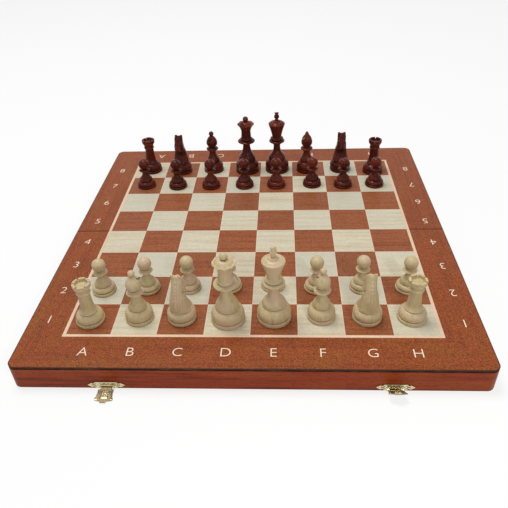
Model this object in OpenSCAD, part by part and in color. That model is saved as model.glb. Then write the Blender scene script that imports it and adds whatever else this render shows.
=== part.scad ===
// Folding chess box: two shallow trays hinged to each other along their middle walls.
// Opened out, their backs make the chess board. Folded, the rims meet and the hollow holds the men.
// X runs along the players' edge, Y from White's side to Black's, Z up.
// The origin is the middle of the fold line, on the plane that the open board's rims stand on.

/* [Board] */
// Side of one chess square
square = 50; // [46:1:55]
// Width and depth of the open board
board_w = 492; // [480:1:520]
// Height of one half, which is half the height of the folded box
half_h = 30; // [26:1:36]
// Radius of the box's upright outer corners
corner_r = 9; // [5:1:12]
// Gap between the two halves at the fold
seam = 0.4; // [0.2:0.1:0.8]

/* [Walls and top] */
// Thickness of the solid wood walls
wall_t = 12; // [10:1:14]
// Thickness of the glued top panel, without its veneer
panel_t = 2.4; // [2:0.2:4]
// How far the panel's dark edge stands back from the walls
panel_inset = 0.4; // [0.2:0.1:0.8]
// Thickness of the veneer
veneer_t = 0.8; // [0.5:0.1:1.2]
// Width of the pale line round the squares
line_w = 3.6; // [2:0.2:5]

/* [Hinges] */
// Distance of each hinge from the middle of the board
hinge_x = 150; // [100:5:190]
// Length of a hinge along the fold
hinge_l = 40; // [30:5:60]
// Width of a hinge leaf, measured from the fold's rim
leaf_h = 13; // [11:0.5:16]
// Thickness of a hinge leaf
leaf_t = 1.0; // [0.8:0.1:1.2]
// Outer radius of the hinge barrel
barrel_r = 1.5; // [1.4:0.1:1.8]
// Radius of the hinge pin
pin_r = 0.8; // [0.6:0.1:0.9]

/* [Clasps] */
// Distance of each clasp from the middle of the board
clasp_x = 146.5; // [100:0.5:200]
// Length of the clasp plate over its pointed ends
plate_l = 39; // [34:1:46]
// Width of the swinging hasp at its pin
hasp_w = 16.4; // [14:0.2:18]
// Width of the hasp at its two feet
hasp_tip_w = 19; // [16:0.5:20]
// Length of the hasp from its pin
hasp_l = 18.6; // [17:0.2:24]
// Angle at which the right hasp stands up from the table
hasp_lift = 35; // [0:5:60]

/* [Chessmen] */
// Height of the king over its cross
king_h = 94.5; // [90:0.5:97]

/* [Hidden] */
$fn = 48;
hairline = 0.03;
side_w = board_w / 2;
field_w = 4 * square;
line_in = field_w - line_w / 2;
line_out = field_w + line_w / 2;
panel_z = half_h - veneer_t - panel_t;
veneer_z = half_h - veneer_t;
// The fold axis is a little under the rims, so that the folded rims stay clear of each other.
axis_z = -0.1;
run_gap = 0.05;
knuckles = 5;
knuckle_gap = 0.3;
knuckle_l = hinge_l / knuckles;
notch_gap = 0.3;
web_top = 2;
screw_r = 1.2;
screw_head_r = 2.2;
screw_l = 9;
screw_z = 8;
screw_spread = 14;
// The clasp's pin runs along X, just off the front wall and just over the rim.
clasp_pin_r = 0.6;
clasp_barrel_r = 1.3;
clasp_pin_y = 1.5;
clasp_pin_z = 1.5;
clasp_sheet = 0.8;
clasp_ear_l = 2.6;
clasp_gap = 0.3;
hasp_knuckle_l = hasp_w - 2 * clasp_ear_l;
// The plate stops this high over the rim between its ears, where the hasp's knuckle turns.
plate_notch_z = 3.8;
// The left hasp lies on the table, its tip this angle lower than its pin.
hasp_drop = 5;
lip_r = 1.3;
lip_w = 6.8;
// The hasp is pressed out into a hollow boss that snaps over the catch's tongue.
boss = [8.4, 4.6];
boss_h = 0.95;
hollow = [6.6, 3];
hollow_top = 1.75;
hollow_at = 12.4;
tongue = [5.4, 3, 1.6];
// A folded hasp's boss comes to this height on the back half, and its catch stands there.
catch_z = 2 * axis_z - clasp_pin_z + hollow_at;
nail_r = 0.6;
nail_head_r = 1.4;
nail_l = 8;
plate_nail = [15.4, 5.6];
catch_nail = [8, catch_z];

FILES = "abcdefgh";
RANKS = [1, 2, 7, 8];
WHITE_BACK = ["rook", "bishop", "knight", "queen", "king", "bishop", "knight", "rook"];
BLACK_BACK = ["rook", "knight", "bishop", "queen", "king", "bishop", "knight", "rook"];

// How far each man stands off the middle of its square, from file a to h
SHIFT = [
    [[-2, -1], [2, 3], [-1, 3], [0, 1], [0, 4], [1, 6], [0, 4], [-2, 4]],
    [[0, 0], [2, 3], [0, 5], [-2, 6], [-2, 8], [-2, 4], [0, 5], [2, 3]],
    [[1, 0], [0, -3], [1, -3], [2, -3], [0, -3], [4, -1], [0, -4], [-3, -3]],
    [[0, 1], [-1, -3], [0, 0], [4, -2], [1, -1], [-3, -3], [0, -2], [0, -10]]
];

// How far each man is turned on its square
TURN = [
    [10, 60, -12, 20, 24, 130, 8, 25],
    [0, 0, 0, 0, 0, 0, 0, 0],
    [0, 0, 0, 0, 0, 0, 0, 0],
    [5, 176, 200, 12, 6, 160, 182, 20]
];

function man_kind(row, col) = row == 0 ? WHITE_BACK[col] : row == 3 ? BLACK_BACK[col] : "pawn";
function man_name(row, col) =
    str(row < 2 ? "white_" : "black_", man_kind(row, col), "_", FILES[col], RANKS[row]);

HALF_NODES = ["outer_rail", "left_rail", "right_rail", "mid_rail", "panel", "border", "dark_squares",
              "light_squares", "stringing", "hinge_leaves", "screws"];

// Places children on the front half as drawn, or mirrored on the back half.
module on_half(side) {
    if (side < 0) children();
    else mirror([0, 1, 0]) children();
}

// Extrudes a (y, z) outline along X, centred on x = 0.
module along_x(l) {
    translate([-l / 2, 0, 0]) rotate([90, 0, 90]) linear_extrude(l) children();
}

// Plan of the front half: square at the fold, rounded at its two outer corners.
module half_plan(inset = 0) {
    r = corner_r - inset;
    w = side_w - inset;
    translate([-w, -w + r]) square([2 * w, w - r - seam / 2]);
    translate([-w + r, -w]) square([2 * w - 2 * r, r]);
    for (s = [-1, 1]) translate([s * (w - r), -w + r]) circle(r);
}

// The wedge of the plan that mitred corners leave for the outer side of the front half.
module outer_wedge() {
    polygon([[-side_w, -side_w], [side_w, -side_w], [0, 0]]);
}

// The wedge that mitred corners leave for the right side of the front half.
module right_wedge() {
    polygon([[side_w, -side_w], [side_w, 0], [0, 0]]);
}

// A flat ring of the front half's plan, outside a square of the given half width.
module half_ring(inner) {
    difference() {
        half_plan();
        translate([-inner, -inner]) square([2 * inner, inner]);
    }
}

// Where the nails of this half's clasp plates or catches go in: [x from a clasp's middle, z].
function nail_at(side) = side < 0 ? plate_nail : catch_nail;

// Outer wall, mitred into the two side walls, with a hole for each nail.
module outer_rail(side) {
    color([0.47, 0.19, 0.1])
    on_half(side) difference() {
        linear_extrude(panel_z) intersection() {
            half_ring(side_w - wall_t);
            outer_wedge();
        }
        at_nails(side) nail_hole(nail_l);
    }
}

// Right wall of the front half. The left one is its mirror image.
module side_rail(side, hand) {
    color([0.5, 0.2, 0.11])
    on_half(side) mirror([hand < 0 ? 1 : 0, 0, 0]) linear_extrude(panel_z) intersection() {
        half_ring(side_w - wall_t);
        right_wedge();
    }
}

// Middle wall, with a pocket for each hinge leaf, a hollow for its barrel and its screw holes.
module mid_rail(side) {
    inner = side_w - wall_t;
    color([0.5, 0.2, 0.11])
    on_half(side) difference() {
        translate([-inner, -wall_t - seam / 2, 0]) cube([2 * inner, wall_t, panel_z]);
        for (s = [-1, 1]) translate([s * hinge_x, 0, 0]) {
            translate([-hinge_l / 2 - run_gap, -seam / 2 - leaf_t - hairline, -1])
                cube([hinge_l + 2 * run_gap, leaf_t + 1, leaf_h + 1 + run_gap]);
            translate([0, 0, axis_z]) along_x(hinge_l + 2 * notch_gap)
                circle(barrel_r + notch_gap);
            for (k = [-1:1]) translate([k * screw_spread, -seam / 2, screw_z]) rotate([90, 0, 0])
                cylinder(r = screw_r + hairline, h = leaf_t + screw_l);
        }
    }
}

// Plywood panel glued over the walls. Its stained edge shows as the dark line under the veneer.
module panel(side) {
    color([0.16, 0.07, 0.04])
    on_half(side) translate([0, 0, panel_z]) linear_extrude(panel_t) half_plan(panel_inset);
}

// Veneer border: one strip along the outer edge and one on each side, mitred at the corners.
module border(side) {
    color([0.55, 0.24, 0.13])
    on_half(side) translate([0, 0, veneer_z]) linear_extrude(veneer_t) {
        translate([0, -hairline]) intersection() {
            translate([0, hairline]) half_ring(line_out + hairline);
            outer_wedge();
        }
        for (s = [0, 1]) mirror([s, 0]) translate([hairline, 0]) intersection() {
            translate([-hairline, 0]) half_ring(line_out + hairline);
            right_wedge();
        }
    }
}

// True where the square of this file (0 to 7) and rank (0 to 7) is a dark one.
function is_dark(col, row) = (col + row) % 2 == 0;

// One veneer square, cut back under the pale line on the edge files and ranks.
module veneer_square(col, row) {
    x0 = max((col - 4) * square, -line_in) + hairline;
    x1 = min((col - 3) * square, line_in) - hairline;
    y0 = row == 4 ? seam / 2 : max((row - 4) * square, -line_in) + hairline;
    y1 = row == 3 ? -seam / 2 : min((row - 3) * square, line_in) - hairline;
    translate([x0, y0, veneer_z]) cube([x1 - x0, y1 - y0, veneer_t]);
}

module squares(side, dark) {
    first = side < 0 ? 0 : 4;
    color(dark ? [0.58, 0.26, 0.14] : [0.8, 0.77, 0.66])
    for (row = [first : first + 3], col = [0:7])
        if (is_dark(col, row) == dark) veneer_square(col, row);
}

// Pale line inlaid round the squares: one strip along the outer edge and one on each side.
module stringing(side) {
    color([0.9, 0.82, 0.7])
    on_half(side) translate([0, 0, veneer_z]) {
        translate([-line_out, -line_out, 0]) cube([2 * line_out, line_w, veneer_t]);
        for (s = [0, 1]) mirror([s, 0, 0])
            translate([line_in, -line_in + hairline, 0])
                cube([line_w, line_in - seam / 2 - hairline, veneer_t]);
    }
}

// Countersunk wood screw along -Y, with its slotted head flush with y = 0.
module wood_screw() {
    tip = 2.5;
    difference() {
        rotate([90, 0, 0]) rotate_extrude() polygon([
            [0, 0], [screw_head_r, 0], [screw_r, leaf_t], [screw_r, screw_l - tip], [0, screw_l]
        ]);
        translate([-screw_head_r - 1, -0.4, -0.3]) cube([2 * screw_head_r + 2, 1, 0.6]);
    }
}

// Leaves of the two butt hinges. The front leaves carry the even knuckles, the back ones the odd.
module hinge_leaves(side) {
    first = side < 0 ? 1 : 0;
    bore = side < 0 ? pin_r + run_gap : pin_r + hairline;
    color([0.78, 0.62, 0.3])
    on_half(side) for (s = [-1, 1]) translate([s * hinge_x, 0, 0]) difference() {
        union() {
            translate([-hinge_l / 2, -seam / 2 - leaf_t, web_top])
                cube([hinge_l, leaf_t, leaf_h - web_top]);
            for (k = [first : 2 : knuckles - 1])
                translate([-hinge_l / 2 + k * knuckle_l + knuckle_gap / 2, 0, 0]) {
                    translate([0, -seam / 2 - leaf_t, axis_z])
                        cube([knuckle_l - knuckle_gap, leaf_t, web_top - axis_z + 0.5]);
                    translate([0, 0, axis_z]) rotate([0, 90, 0])
                        cylinder(r = barrel_r, h = knuckle_l - knuckle_gap);
                }
        }
        translate([0, 0, axis_z]) along_x(hinge_l + 2) circle(bore);
        for (k = [-1:1]) translate([k * screw_spread, -seam / 2, screw_z]) rotate([90, 0, 0])
            rotate_extrude() polygon([
                [0, -1], [screw_head_r + hairline, -1], [screw_head_r + hairline, 0],
                [screw_r + hairline, leaf_t], [screw_r + hairline, leaf_t + 1], [0, leaf_t + 1]
            ]);
    }
}

// Hinge pins, held in the back leaves.
module hinge_pins() {
    color([0.7, 0.56, 0.28])
    for (s = [-1, 1]) translate([s * hinge_x, 0, axis_z]) along_x(hinge_l - 0.4) circle(pin_r);
}

// Places children at each nail of this half's clasps, on the outer wall's face.
module at_nails(side) {
    at = nail_at(side);
    for (s = [-1, 1], n = [-1, 1])
        translate([s * clasp_x + n * at[0], -side_w, at[1]]) children();
}

// Round-headed brass nail along +Y, its head standing on y = 0.
module nail() {
    rotate([-90, 0, 0]) rotate_extrude() polygon([
        [0, -0.7], [nail_head_r * 0.6, -0.55], [nail_head_r, 0], [nail_r, 0],
        [nail_r, nail_l - 1.5], [0, nail_l]
    ]);
}

// Hole that a nail fills, along +Y from just before y = 0.
module nail_hole(depth) {
    translate([0, -1, 0]) rotate([-90, 0, 0]) cylinder(r = nail_r + hairline, h = depth + 1);
}

// Screws of this half's hinge leaves, and the nails of its clasp plates or catches.
module screws(side) {
    color([0.85, 0.7, 0.38])
    on_half(side) {
        for (s = [-1, 1], k = [-1:1])
            translate([s * hinge_x + k * screw_spread, -seam / 2, screw_z]) wood_screw();
        at_nails(side) translate([0, -clasp_sheet, 0]) nail();
    }
}

// Outline of a clasp plate, seen from the front: a band with a pointed leaf at each end.
PLATE_HALF = [
    [9.8, 0.6], [11.6, 2.2], [12.6, 3.7], [15, 2.6], [plate_l / 2, plate_nail[1]],
    [15, 8.6], [12.8, 7.6], [11.6, 9.7]
];

// Closes an outline given by the points of its +X half, from one end of the Y axis to the other.
module mirrored_outline(points) {
    polygon(concat(points, [for (i = [len(points) - 1 : -1 : 0]) [-points[i][0], points[i][1]]]));
}

// Front wall's clasp plates, each with two ears that hold the hasp's pin.
module clasp_plates() {
    ear_x = (hasp_w - clasp_ear_l) / 2;
    color([0.83, 0.74, 0.45])
    difference() {
        for (s = [-1, 1]) translate([s * clasp_x, -side_w, 0]) difference() {
            union() {
                rotate([90, 0, 0]) linear_extrude(clasp_sheet) mirrored_outline(PLATE_HALF);
                for (n = [-1, 1]) translate([n * ear_x, 0, clasp_pin_z]) {
                    translate([0, -clasp_pin_y, 0]) along_x(clasp_ear_l) circle(clasp_barrel_r);
                    along_x(clasp_ear_l) translate([-clasp_pin_y, 0])
                        square([clasp_pin_y, clasp_barrel_r]);
                }
            }
            translate([-hasp_knuckle_l / 2, -2, 0]) cube([hasp_knuckle_l, 4, plate_notch_z]);
            translate([0, -clasp_pin_y, clasp_pin_z]) along_x(hasp_w + 2)
                circle(clasp_pin_r + hairline);
        }
        at_nails(-1) nail_hole(0);
    }
}

module clasp_pins() {
    color([0.8, 0.68, 0.4])
    for (s = [-1, 1]) translate([s * clasp_x, -side_w - clasp_pin_y, clasp_pin_z])
        along_x(hasp_w) circle(clasp_pin_r);
}

// Finger lip at the hasp's tip: the sheet's end, curled up through half a turn.
module lip_outline() {
    translate([lip_r - hasp_l, clasp_barrel_r - clasp_sheet + lip_r]) difference() {
        circle(lip_r);
        circle(lip_r - clasp_sheet);
        translate([0, -lip_r]) square(2 * lip_r);
        translate([-lip_r, lip_r * 0.4]) square(2 * lip_r);
    }
}

// Half outline of the hasp's plate: it widens to a foot on each side, and a tab carries its lip.
HASP_HALF = [
    [hasp_w / 2 - 0.6, -1.9], [hasp_w / 2, -3], [hasp_w / 2 - 0.3, -6.6],
    [hasp_w / 2 + 0.2, -11], [hasp_tip_w / 2, 5 - hasp_l], [hasp_tip_w / 2 - 0.4, 3.2 - hasp_l],
    [hasp_tip_w / 2 - 2.2, 2.8 - hasp_l], [lip_w / 2 + 0.8, 3.2 - hasp_l],
    [lip_w / 2, 2.4 - hasp_l], [lip_w / 2, lip_r - hasp_l]
];

// Places a block of the given plan so that it is centred on the hasp's boss.
module on_boss(plan, z) {
    translate([-plan[0] / 2, -hollow_at - plan[1] / 2, z]) children();
}

// Hasp with its pin on the X axis, laid out towards -Y.
module hasp() {
    sheet_z = clasp_barrel_r - clasp_sheet;
    knuckle_l = hasp_knuckle_l - 2 * clasp_gap;
    web_l = 2.4;
    color([0.83, 0.74, 0.45])
    difference() {
        union() {
            along_x(knuckle_l) circle(clasp_barrel_r);
            along_x(knuckle_l) translate([-web_l, sheet_z]) square([web_l, clasp_sheet]);
            translate([0, 0, sheet_z]) linear_extrude(clasp_sheet) mirrored_outline(HASP_HALF);
            along_x(lip_w) lip_outline();
            along_x(lip_w) translate([lip_r - hasp_l - 0.1, sheet_z])
                square([0.5, clasp_sheet]);
            on_boss(boss, sheet_z) cube([boss[0], boss[1], clasp_sheet + boss_h]);
        }
        along_x(hasp_w) circle(clasp_pin_r + run_gap);
        on_boss(hollow, 0) cube([hollow[0], hollow[1], hollow_top]);
    }
}

// The left hasp lies down on the table, and the right one stands up a little.
module placed_hasp(s) {
    translate([s * clasp_x, -side_w - clasp_pin_y, clasp_pin_z])
        rotate([s > 0 ? -hasp_lift : hasp_drop, 0, 0]) hasp();
}

// Catches on the back half's outer wall. Each tongue snaps into the boss of a closed hasp.
module catches() {
    point_x = 11;
    plate = [8, 4];
    color([0.83, 0.74, 0.45])
    on_half(1) difference() {
        for (s = [-1, 1]) translate([s * clasp_x, -side_w, catch_z]) {
            rotate([90, 0, 0]) linear_extrude(clasp_sheet) polygon([
                [-point_x, 0], [-plate[0], -plate[1]], [plate[0], -plate[1]],
                [point_x, 0], [plate[0], plate[1]], [-plate[0], plate[1]]
            ]);
            translate([-tongue[0] / 2, -tongue[1], -tongue[2] / 2])
                cube([tongue[0], tongue[1] - clasp_sheet / 2, tongue[2]]);
        }
        at_nails(1) nail_hole(0);
    }
}

// Points from p to q of a stretch that bows outward by the given amount at its middle.
function bowed(p, q, bow, steps = 7) =
    let (d = q - p, n = [d[1], -d[0]] / norm(d))
    [for (i = [0 : steps - 1]) let (t = i / steps) p + d * t + n * bow * 4 * t * (1 - t)];

// Outline through stations [r, z, bow of the stretch that follows].
function outline(stations) = [
    for (i = [0 : len(stations) - 1])
        let (a = stations[i], p = [a[0], a[1]])
        if (i == len(stations) - 1 || a[2] == 0) p
        else for (b = bowed(p, [stations[i + 1][0], stations[i + 1][1]], a[2])) b
];

// Half outline of a ball at height z, from the given angle below its equator up to its top.
function ball(z, r, from, steps = 9) = [
    for (i = [0 : steps]) let (a = from + (90 - from) * i / steps) [r * cos(a), z + r * sin(a)]
];

// The turned foot that all men share: a ring, a groove, a swelling bell, and over another groove
// the ledge that the body stands on.
function foot(r, ring, ledge_r, ledge_z, bow) = [
    [0, 0, 0], [r - 0.8, 0, 0], [r, 0.8, 0], [r, ring - 0.6, 0], [r - 0.6, ring, 0],
    [r - 1.8, ring + 0.4, 0], [r - 0.7, ring + 1.3, bow], [ledge_r + 0.3, ledge_z, 0],
    [ledge_r - 0.9, ledge_z + 0.4, 0], [ledge_r - 0.9, ledge_z + 0.7, 0],
    [ledge_r, ledge_z + 1, 0], [ledge_r, ledge_z + 1.8, 0]
];

module pawn() {
    rotate_extrude() polygon(concat(
        outline(concat(foot(13.9, 3.6, 9.8, 9.4, 0.9), [
            [9.7, 11.4, 0.4], [7.6, 15.6, -0.4], [4.2, 20.4, 0], [4.2, 25, 0], [5, 25.6, 0],
            [7.9, 26.6, 0.3], [7.9, 27.6, 0.3], [5.2, 28.9, 0]
        ])),
        ball(36.9, 7.8, -62)
    ));
}

module rook() {
    crown_z = 48.2;
    top_z = 53;
    difference() {
        rotate_extrude() polygon(outline(concat(foot(15.7, 4.2, 10.1, 13.8, 1.5), [
            [10, 15.8, -0.5], [7.4, 22.5, -0.2], [6.4, 39, 0], [7.5, 39.8, 0.3], [7.5, 41, 0],
            [6.9, 41.6, -0.6], [9.5, crown_z, 0], [9.8, top_z - 0.4, 0], [9.4, top_z, 0],
            [6.8, top_z, 0], [6.6, crown_z + 1, 0], [0, crown_z + 0.2, 0]
        ])));
        for (a = [0, 60, 120]) rotate(a) translate([-15, -0.9, crown_z + 2.4]) cube([30, 1.8, 10]);
    }
}

module bishop(plain_tip = false) {
    tip = plain_tip ? [[3.2, 59.6, 0.6], [0, 65, 0]] : [[2.3, 58.6, 0]];
    difference() {
        rotate_extrude() polygon(concat(
            outline(concat(foot(15.5, 4.2, 10.1, 15.6, 1.9), [
                [10, 17.6, 0.3], [8.4, 22.4, -0.4], [5, 30.6, 0], [4.6, 33, 0], [5.8, 33.7, 0.4],
                [5.8, 35.4, 0], [9, 36.6, 0.3], [9, 37.8, 0.3], [5.6, 39.6, 0], [5.2, 41, 0.9],
                [8.5, 47.8, 1.2]
            ], tip)),
            plain_tip ? [] : ball(61.8, 3.7, -52)
        ));
        translate([4.6, 0, 53.5]) rotate([0, 38, 0]) translate([-4, -10, -0.5]) cube([14, 20, 1]);
    }
}

module queen() {
    rim_z = 78.6;
    difference() {
        rotate_extrude() polygon(concat(
            outline(concat(foot(18.4, 4.8, 13.1, 17.6, 2.1), [
                [13, 19.6, 0.4], [10.6, 27.4, -0.4], [6.8, 35, -0.2], [5.5, 42, 0], [5.4, 45, 0],
                [6.7, 45.8, 0.4], [6.7, 47.4, 0], [12.7, 49.4, 0.4], [12.7, 51, 0.3],
                [8.4, 52.6, 0], [8.8, 53.6, 0.4], [8.8, 55.2, 0], [7.6, 56.2, 0],
                [7.1, 66.5, -0.8], [12.5, rim_z - 1, 0], [12.3, rim_z, 0],
                [10, rim_z - 0.3, 0], [8.6, rim_z + 1, 0.8], [3, rim_z + 3, 0],
                [2.3, rim_z + 3.6, 0]
            ])),
            ball(rim_z + 6.6, 4.2, -55)
        ));
        for (a = [0 : 40 : 359]) rotate(a) translate([9.4, 0, rim_z + 0.6]) rotate([0, 90, 0])
            cylinder(r = 1.7, h = 6);
    }
}

module king() {
    dome_z = 80.8;
    arm = [7.4, 3.2];
    rotate_extrude() polygon(outline(concat(foot(18.6, 5, 13, 19.2, 2.1), [
        [12.9, 21.2, 0.5], [11, 26.6, -0.4], [6.3, 33.4, -0.3], [5.1, 40, 0], [5.1, 44, 0],
        [6.8, 45, 0.4], [6.8, 46.8, 0], [11.5, 48.6, 0.4], [11.5, 50.2, 0.3], [8.6, 51.6, 0],
        [9.4, 52.8, 0.4], [9.4, 54.6, 0], [6.8, 56, -0.5], [12.3, 75.8, 0.2], [12.1, 77.8, 0],
        [11, 78.3, 0.8], [5.3, dome_z - 0.4, 0], [5.3, dome_z + 0.6, 0], [4.6, dome_z + 1.2, 0],
        [2, dome_z + 1.6, 0], [0, dome_z + 1.6, 0]
    ])));
    translate([0, arm[1] / 2, 0]) rotate([90, 0, 0]) linear_extrude(arm[1]) polygon([
        [-2.6, dome_z + 1], [2.6, dome_z + 1], [2.1, 85.6], [arm[0] / 2, 86.4],
        [arm[0] / 2, 90], [2.2, 90.4], [3.1, king_h], [-3.1, king_h], [-2.2, 90.4],
        [-arm[0] / 2, 90], [-arm[0] / 2, 86.4], [-2.1, 85.6]
    ]);
}

// Side of the horse's head and neck, looking along X with +Y forward: [y, z, bow].
HORSE_SIDE = [
    [-11.9, 16.4, 1.6], [-11, 36, 1.8], [-4, 54.6, 0], [-2.4, 61, 0], [1.8, 57, 0],
    [5, 54.4, 0.8], [12.8, 44.6, 0.8], [13.7, 40.6, 0.6], [11.2, 37.4, 0], [9, 38.4, 0],
    [5.8, 36.6, -0.9], [3.8, 32, -1.6], [10.8, 20.8, 0.5], [11.9, 16.4, 0]
];

// Half of the horse's front, from its chest up: [x, z].
HORSE_FRONT = [[12.2, 13], [11.6, 20], [9.8, 29], [7.4, 39], [6, 48], [5.7, 62]];

module knight() {
    rotate_extrude() polygon(outline(concat(foot(15.8, 4.2, 12.6, 15, 1.6), [[0, 16.8, 0]])));
    difference() {
        intersection() {
            along_x(30) polygon(outline(HORSE_SIDE));
            rotate([90, 0, 0]) translate([0, 0, -20]) linear_extrude(40)
                mirrored_outline(HORSE_FRONT);
            translate([0, 0, 16]) cylinder(r1 = 12.5, r2 = 16.5, h = 50);
        }
        translate([-1.6, -10, 59.4]) cube([3.2, 20, 10]);
    }
}

// One man on its square, facing the other side where it has a front.
module man(row, col) {
    kind = man_kind(row, col);
    at = SHIFT[row][col];
    x = (col - 3.5) * square + at[0];
    y = (RANKS[row] - 4.5) * square + at[1];
    color(row < 2 ? [0.76, 0.67, 0.5] : [0.24, 0.08, 0.06])
    translate([x, y, half_h]) rotate(TURN[row][col]) {
        if (kind == "pawn") pawn();
        if (kind == "rook") rook();
        if (kind == "knight") knight();
        if (kind == "bishop") bishop(plain_tip = row == 3 && col == 5);
        if (kind == "queen") queen();
        if (kind == "king") king();
    }
}

outer_rail(-1);  // front_outer_rail
side_rail(-1, -1);  // front_left_rail
side_rail(-1, 1);  // front_right_rail
mid_rail(-1);  // front_mid_rail
panel(-1);  // front_panel
border(-1);  // front_border
squares(-1, true);  // front_dark_squares
squares(-1, false);  // front_light_squares
stringing(-1);  // front_stringing
hinge_leaves(-1);  // front_hinge_leaves
screws(-1);  // front_screws
outer_rail(1);  // back_outer_rail
side_rail(1, -1);  // back_left_rail
side_rail(1, 1);  // back_right_rail
mid_rail(1);  // back_mid_rail
panel(1);  // back_panel
border(1);  // back_border
squares(1, true);  // back_dark_squares
squares(1, false);  // back_light_squares
stringing(1);  // back_stringing
hinge_leaves(1);  // back_hinge_leaves
screws(1);  // back_screws
hinge_pins();
clasp_plates();
clasp_pins();
placed_hasp(-1);  // hasp_left
placed_hasp(1);  // hasp_right
catches();
for (row = [0:3], col = [0:7])
    man(row, col);
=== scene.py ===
"""Dresses a folding chess box and its men: veneers, lettering, brass, turned men and carved horses.

Sizes are millimetres in the row frame, and each piece becomes metres as its mesh is made.
"""

import logging
import math
from dataclasses import dataclass, field
from enum import Enum
from typing import Callable, Iterable, Optional, Sequence

import bmesh
import bpy
from mathutils import Matrix, Vector


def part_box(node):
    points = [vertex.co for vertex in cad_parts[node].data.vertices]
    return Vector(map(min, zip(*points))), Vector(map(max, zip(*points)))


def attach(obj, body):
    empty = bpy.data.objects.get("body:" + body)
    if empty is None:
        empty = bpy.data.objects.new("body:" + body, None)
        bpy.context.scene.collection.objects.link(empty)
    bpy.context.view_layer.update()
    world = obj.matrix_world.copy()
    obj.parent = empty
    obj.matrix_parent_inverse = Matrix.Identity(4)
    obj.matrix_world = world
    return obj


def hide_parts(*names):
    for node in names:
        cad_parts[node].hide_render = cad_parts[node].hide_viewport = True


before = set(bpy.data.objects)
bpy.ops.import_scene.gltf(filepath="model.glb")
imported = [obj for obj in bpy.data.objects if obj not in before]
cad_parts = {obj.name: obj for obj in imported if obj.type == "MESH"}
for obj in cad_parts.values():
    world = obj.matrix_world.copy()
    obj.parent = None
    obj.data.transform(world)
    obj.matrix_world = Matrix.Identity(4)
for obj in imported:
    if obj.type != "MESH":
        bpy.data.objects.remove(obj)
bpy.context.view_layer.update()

LOG = logging.getLogger("chess_box")
MM = 0.001
FIELD_FILES = 8
TAU = 2 * math.pi

Point2 = tuple[float, float]
Point3 = tuple[float, float, float]
Station = tuple[float, float, float]
Colour = tuple[int, int, int]


class Half(Enum):
    """One half of the folding box."""

    FRONT = "front"
    BACK = "back"

    @property
    def sign(self) -> int:
        """-1 for the half on White's side, 1 for the half on Black's side."""
        return -1 if self is Half.FRONT else 1

    @property
    def body(self) -> str:
        """The CAD body that the half's pieces ride on."""
        return f"{self.value}_half"


class Side(Enum):
    """The two sets of men."""

    WHITE = "white"
    BLACK = "black"


class Kind(Enum):
    """The six kinds of men."""

    PAWN = "pawn"
    ROOK = "rook"
    KNIGHT = "knight"
    BISHOP = "bishop"
    QUEEN = "queen"
    KING = "king"


class Grain(Enum):
    """Which way the wood's grain runs."""

    ALONG_X = "x"
    ALONG_Y = "y"
    ALONG_Z = "z"
    MITRED = "along each side of the board"


def smoothstep(low: float, high: float, value: float) -> float:
    """Rises smoothly from 0 at low to 1 at high.

    Args:
        low: Where the rise starts.
        high: Where the rise ends.
        value: Where to read it.

    Returns:
        A number from 0 to 1.
    """
    t = min(1.0, max(0.0, (value - low) / (high - low)))
    return t * t * (3 - 2 * t)


def between(table: Sequence[Point2], at: float) -> float:
    """Reads a table of (place, value) pairs, in straight lines between its rows.

    Args:
        table: The pairs, in rising order of place.
        at: The place to read.

    Returns:
        The value there, held at the table's ends.
    """
    if at <= table[0][0]:
        return table[0][1]
    for (a, va), (b, vb) in zip(table, table[1:]):
        if at <= b:
            return va + (vb - va) * (at - a) / (b - a)
    return table[-1][1]


def new_object(name: str, data: Optional[bpy.types.ID]) -> bpy.types.Object:
    """Makes an object of a mesh, curve, light or camera and puts it in the scene."""
    made = bpy.data.objects.new(name, data)
    bpy.context.scene.collection.objects.link(made)
    return made


def finished_mesh(made: bpy.types.Object) -> bpy.types.Mesh:
    """The mesh of an object, its modifiers applied."""
    return bpy.data.meshes.new_from_object(
        made.evaluated_get(bpy.context.evaluated_depsgraph_get())
    )


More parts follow.
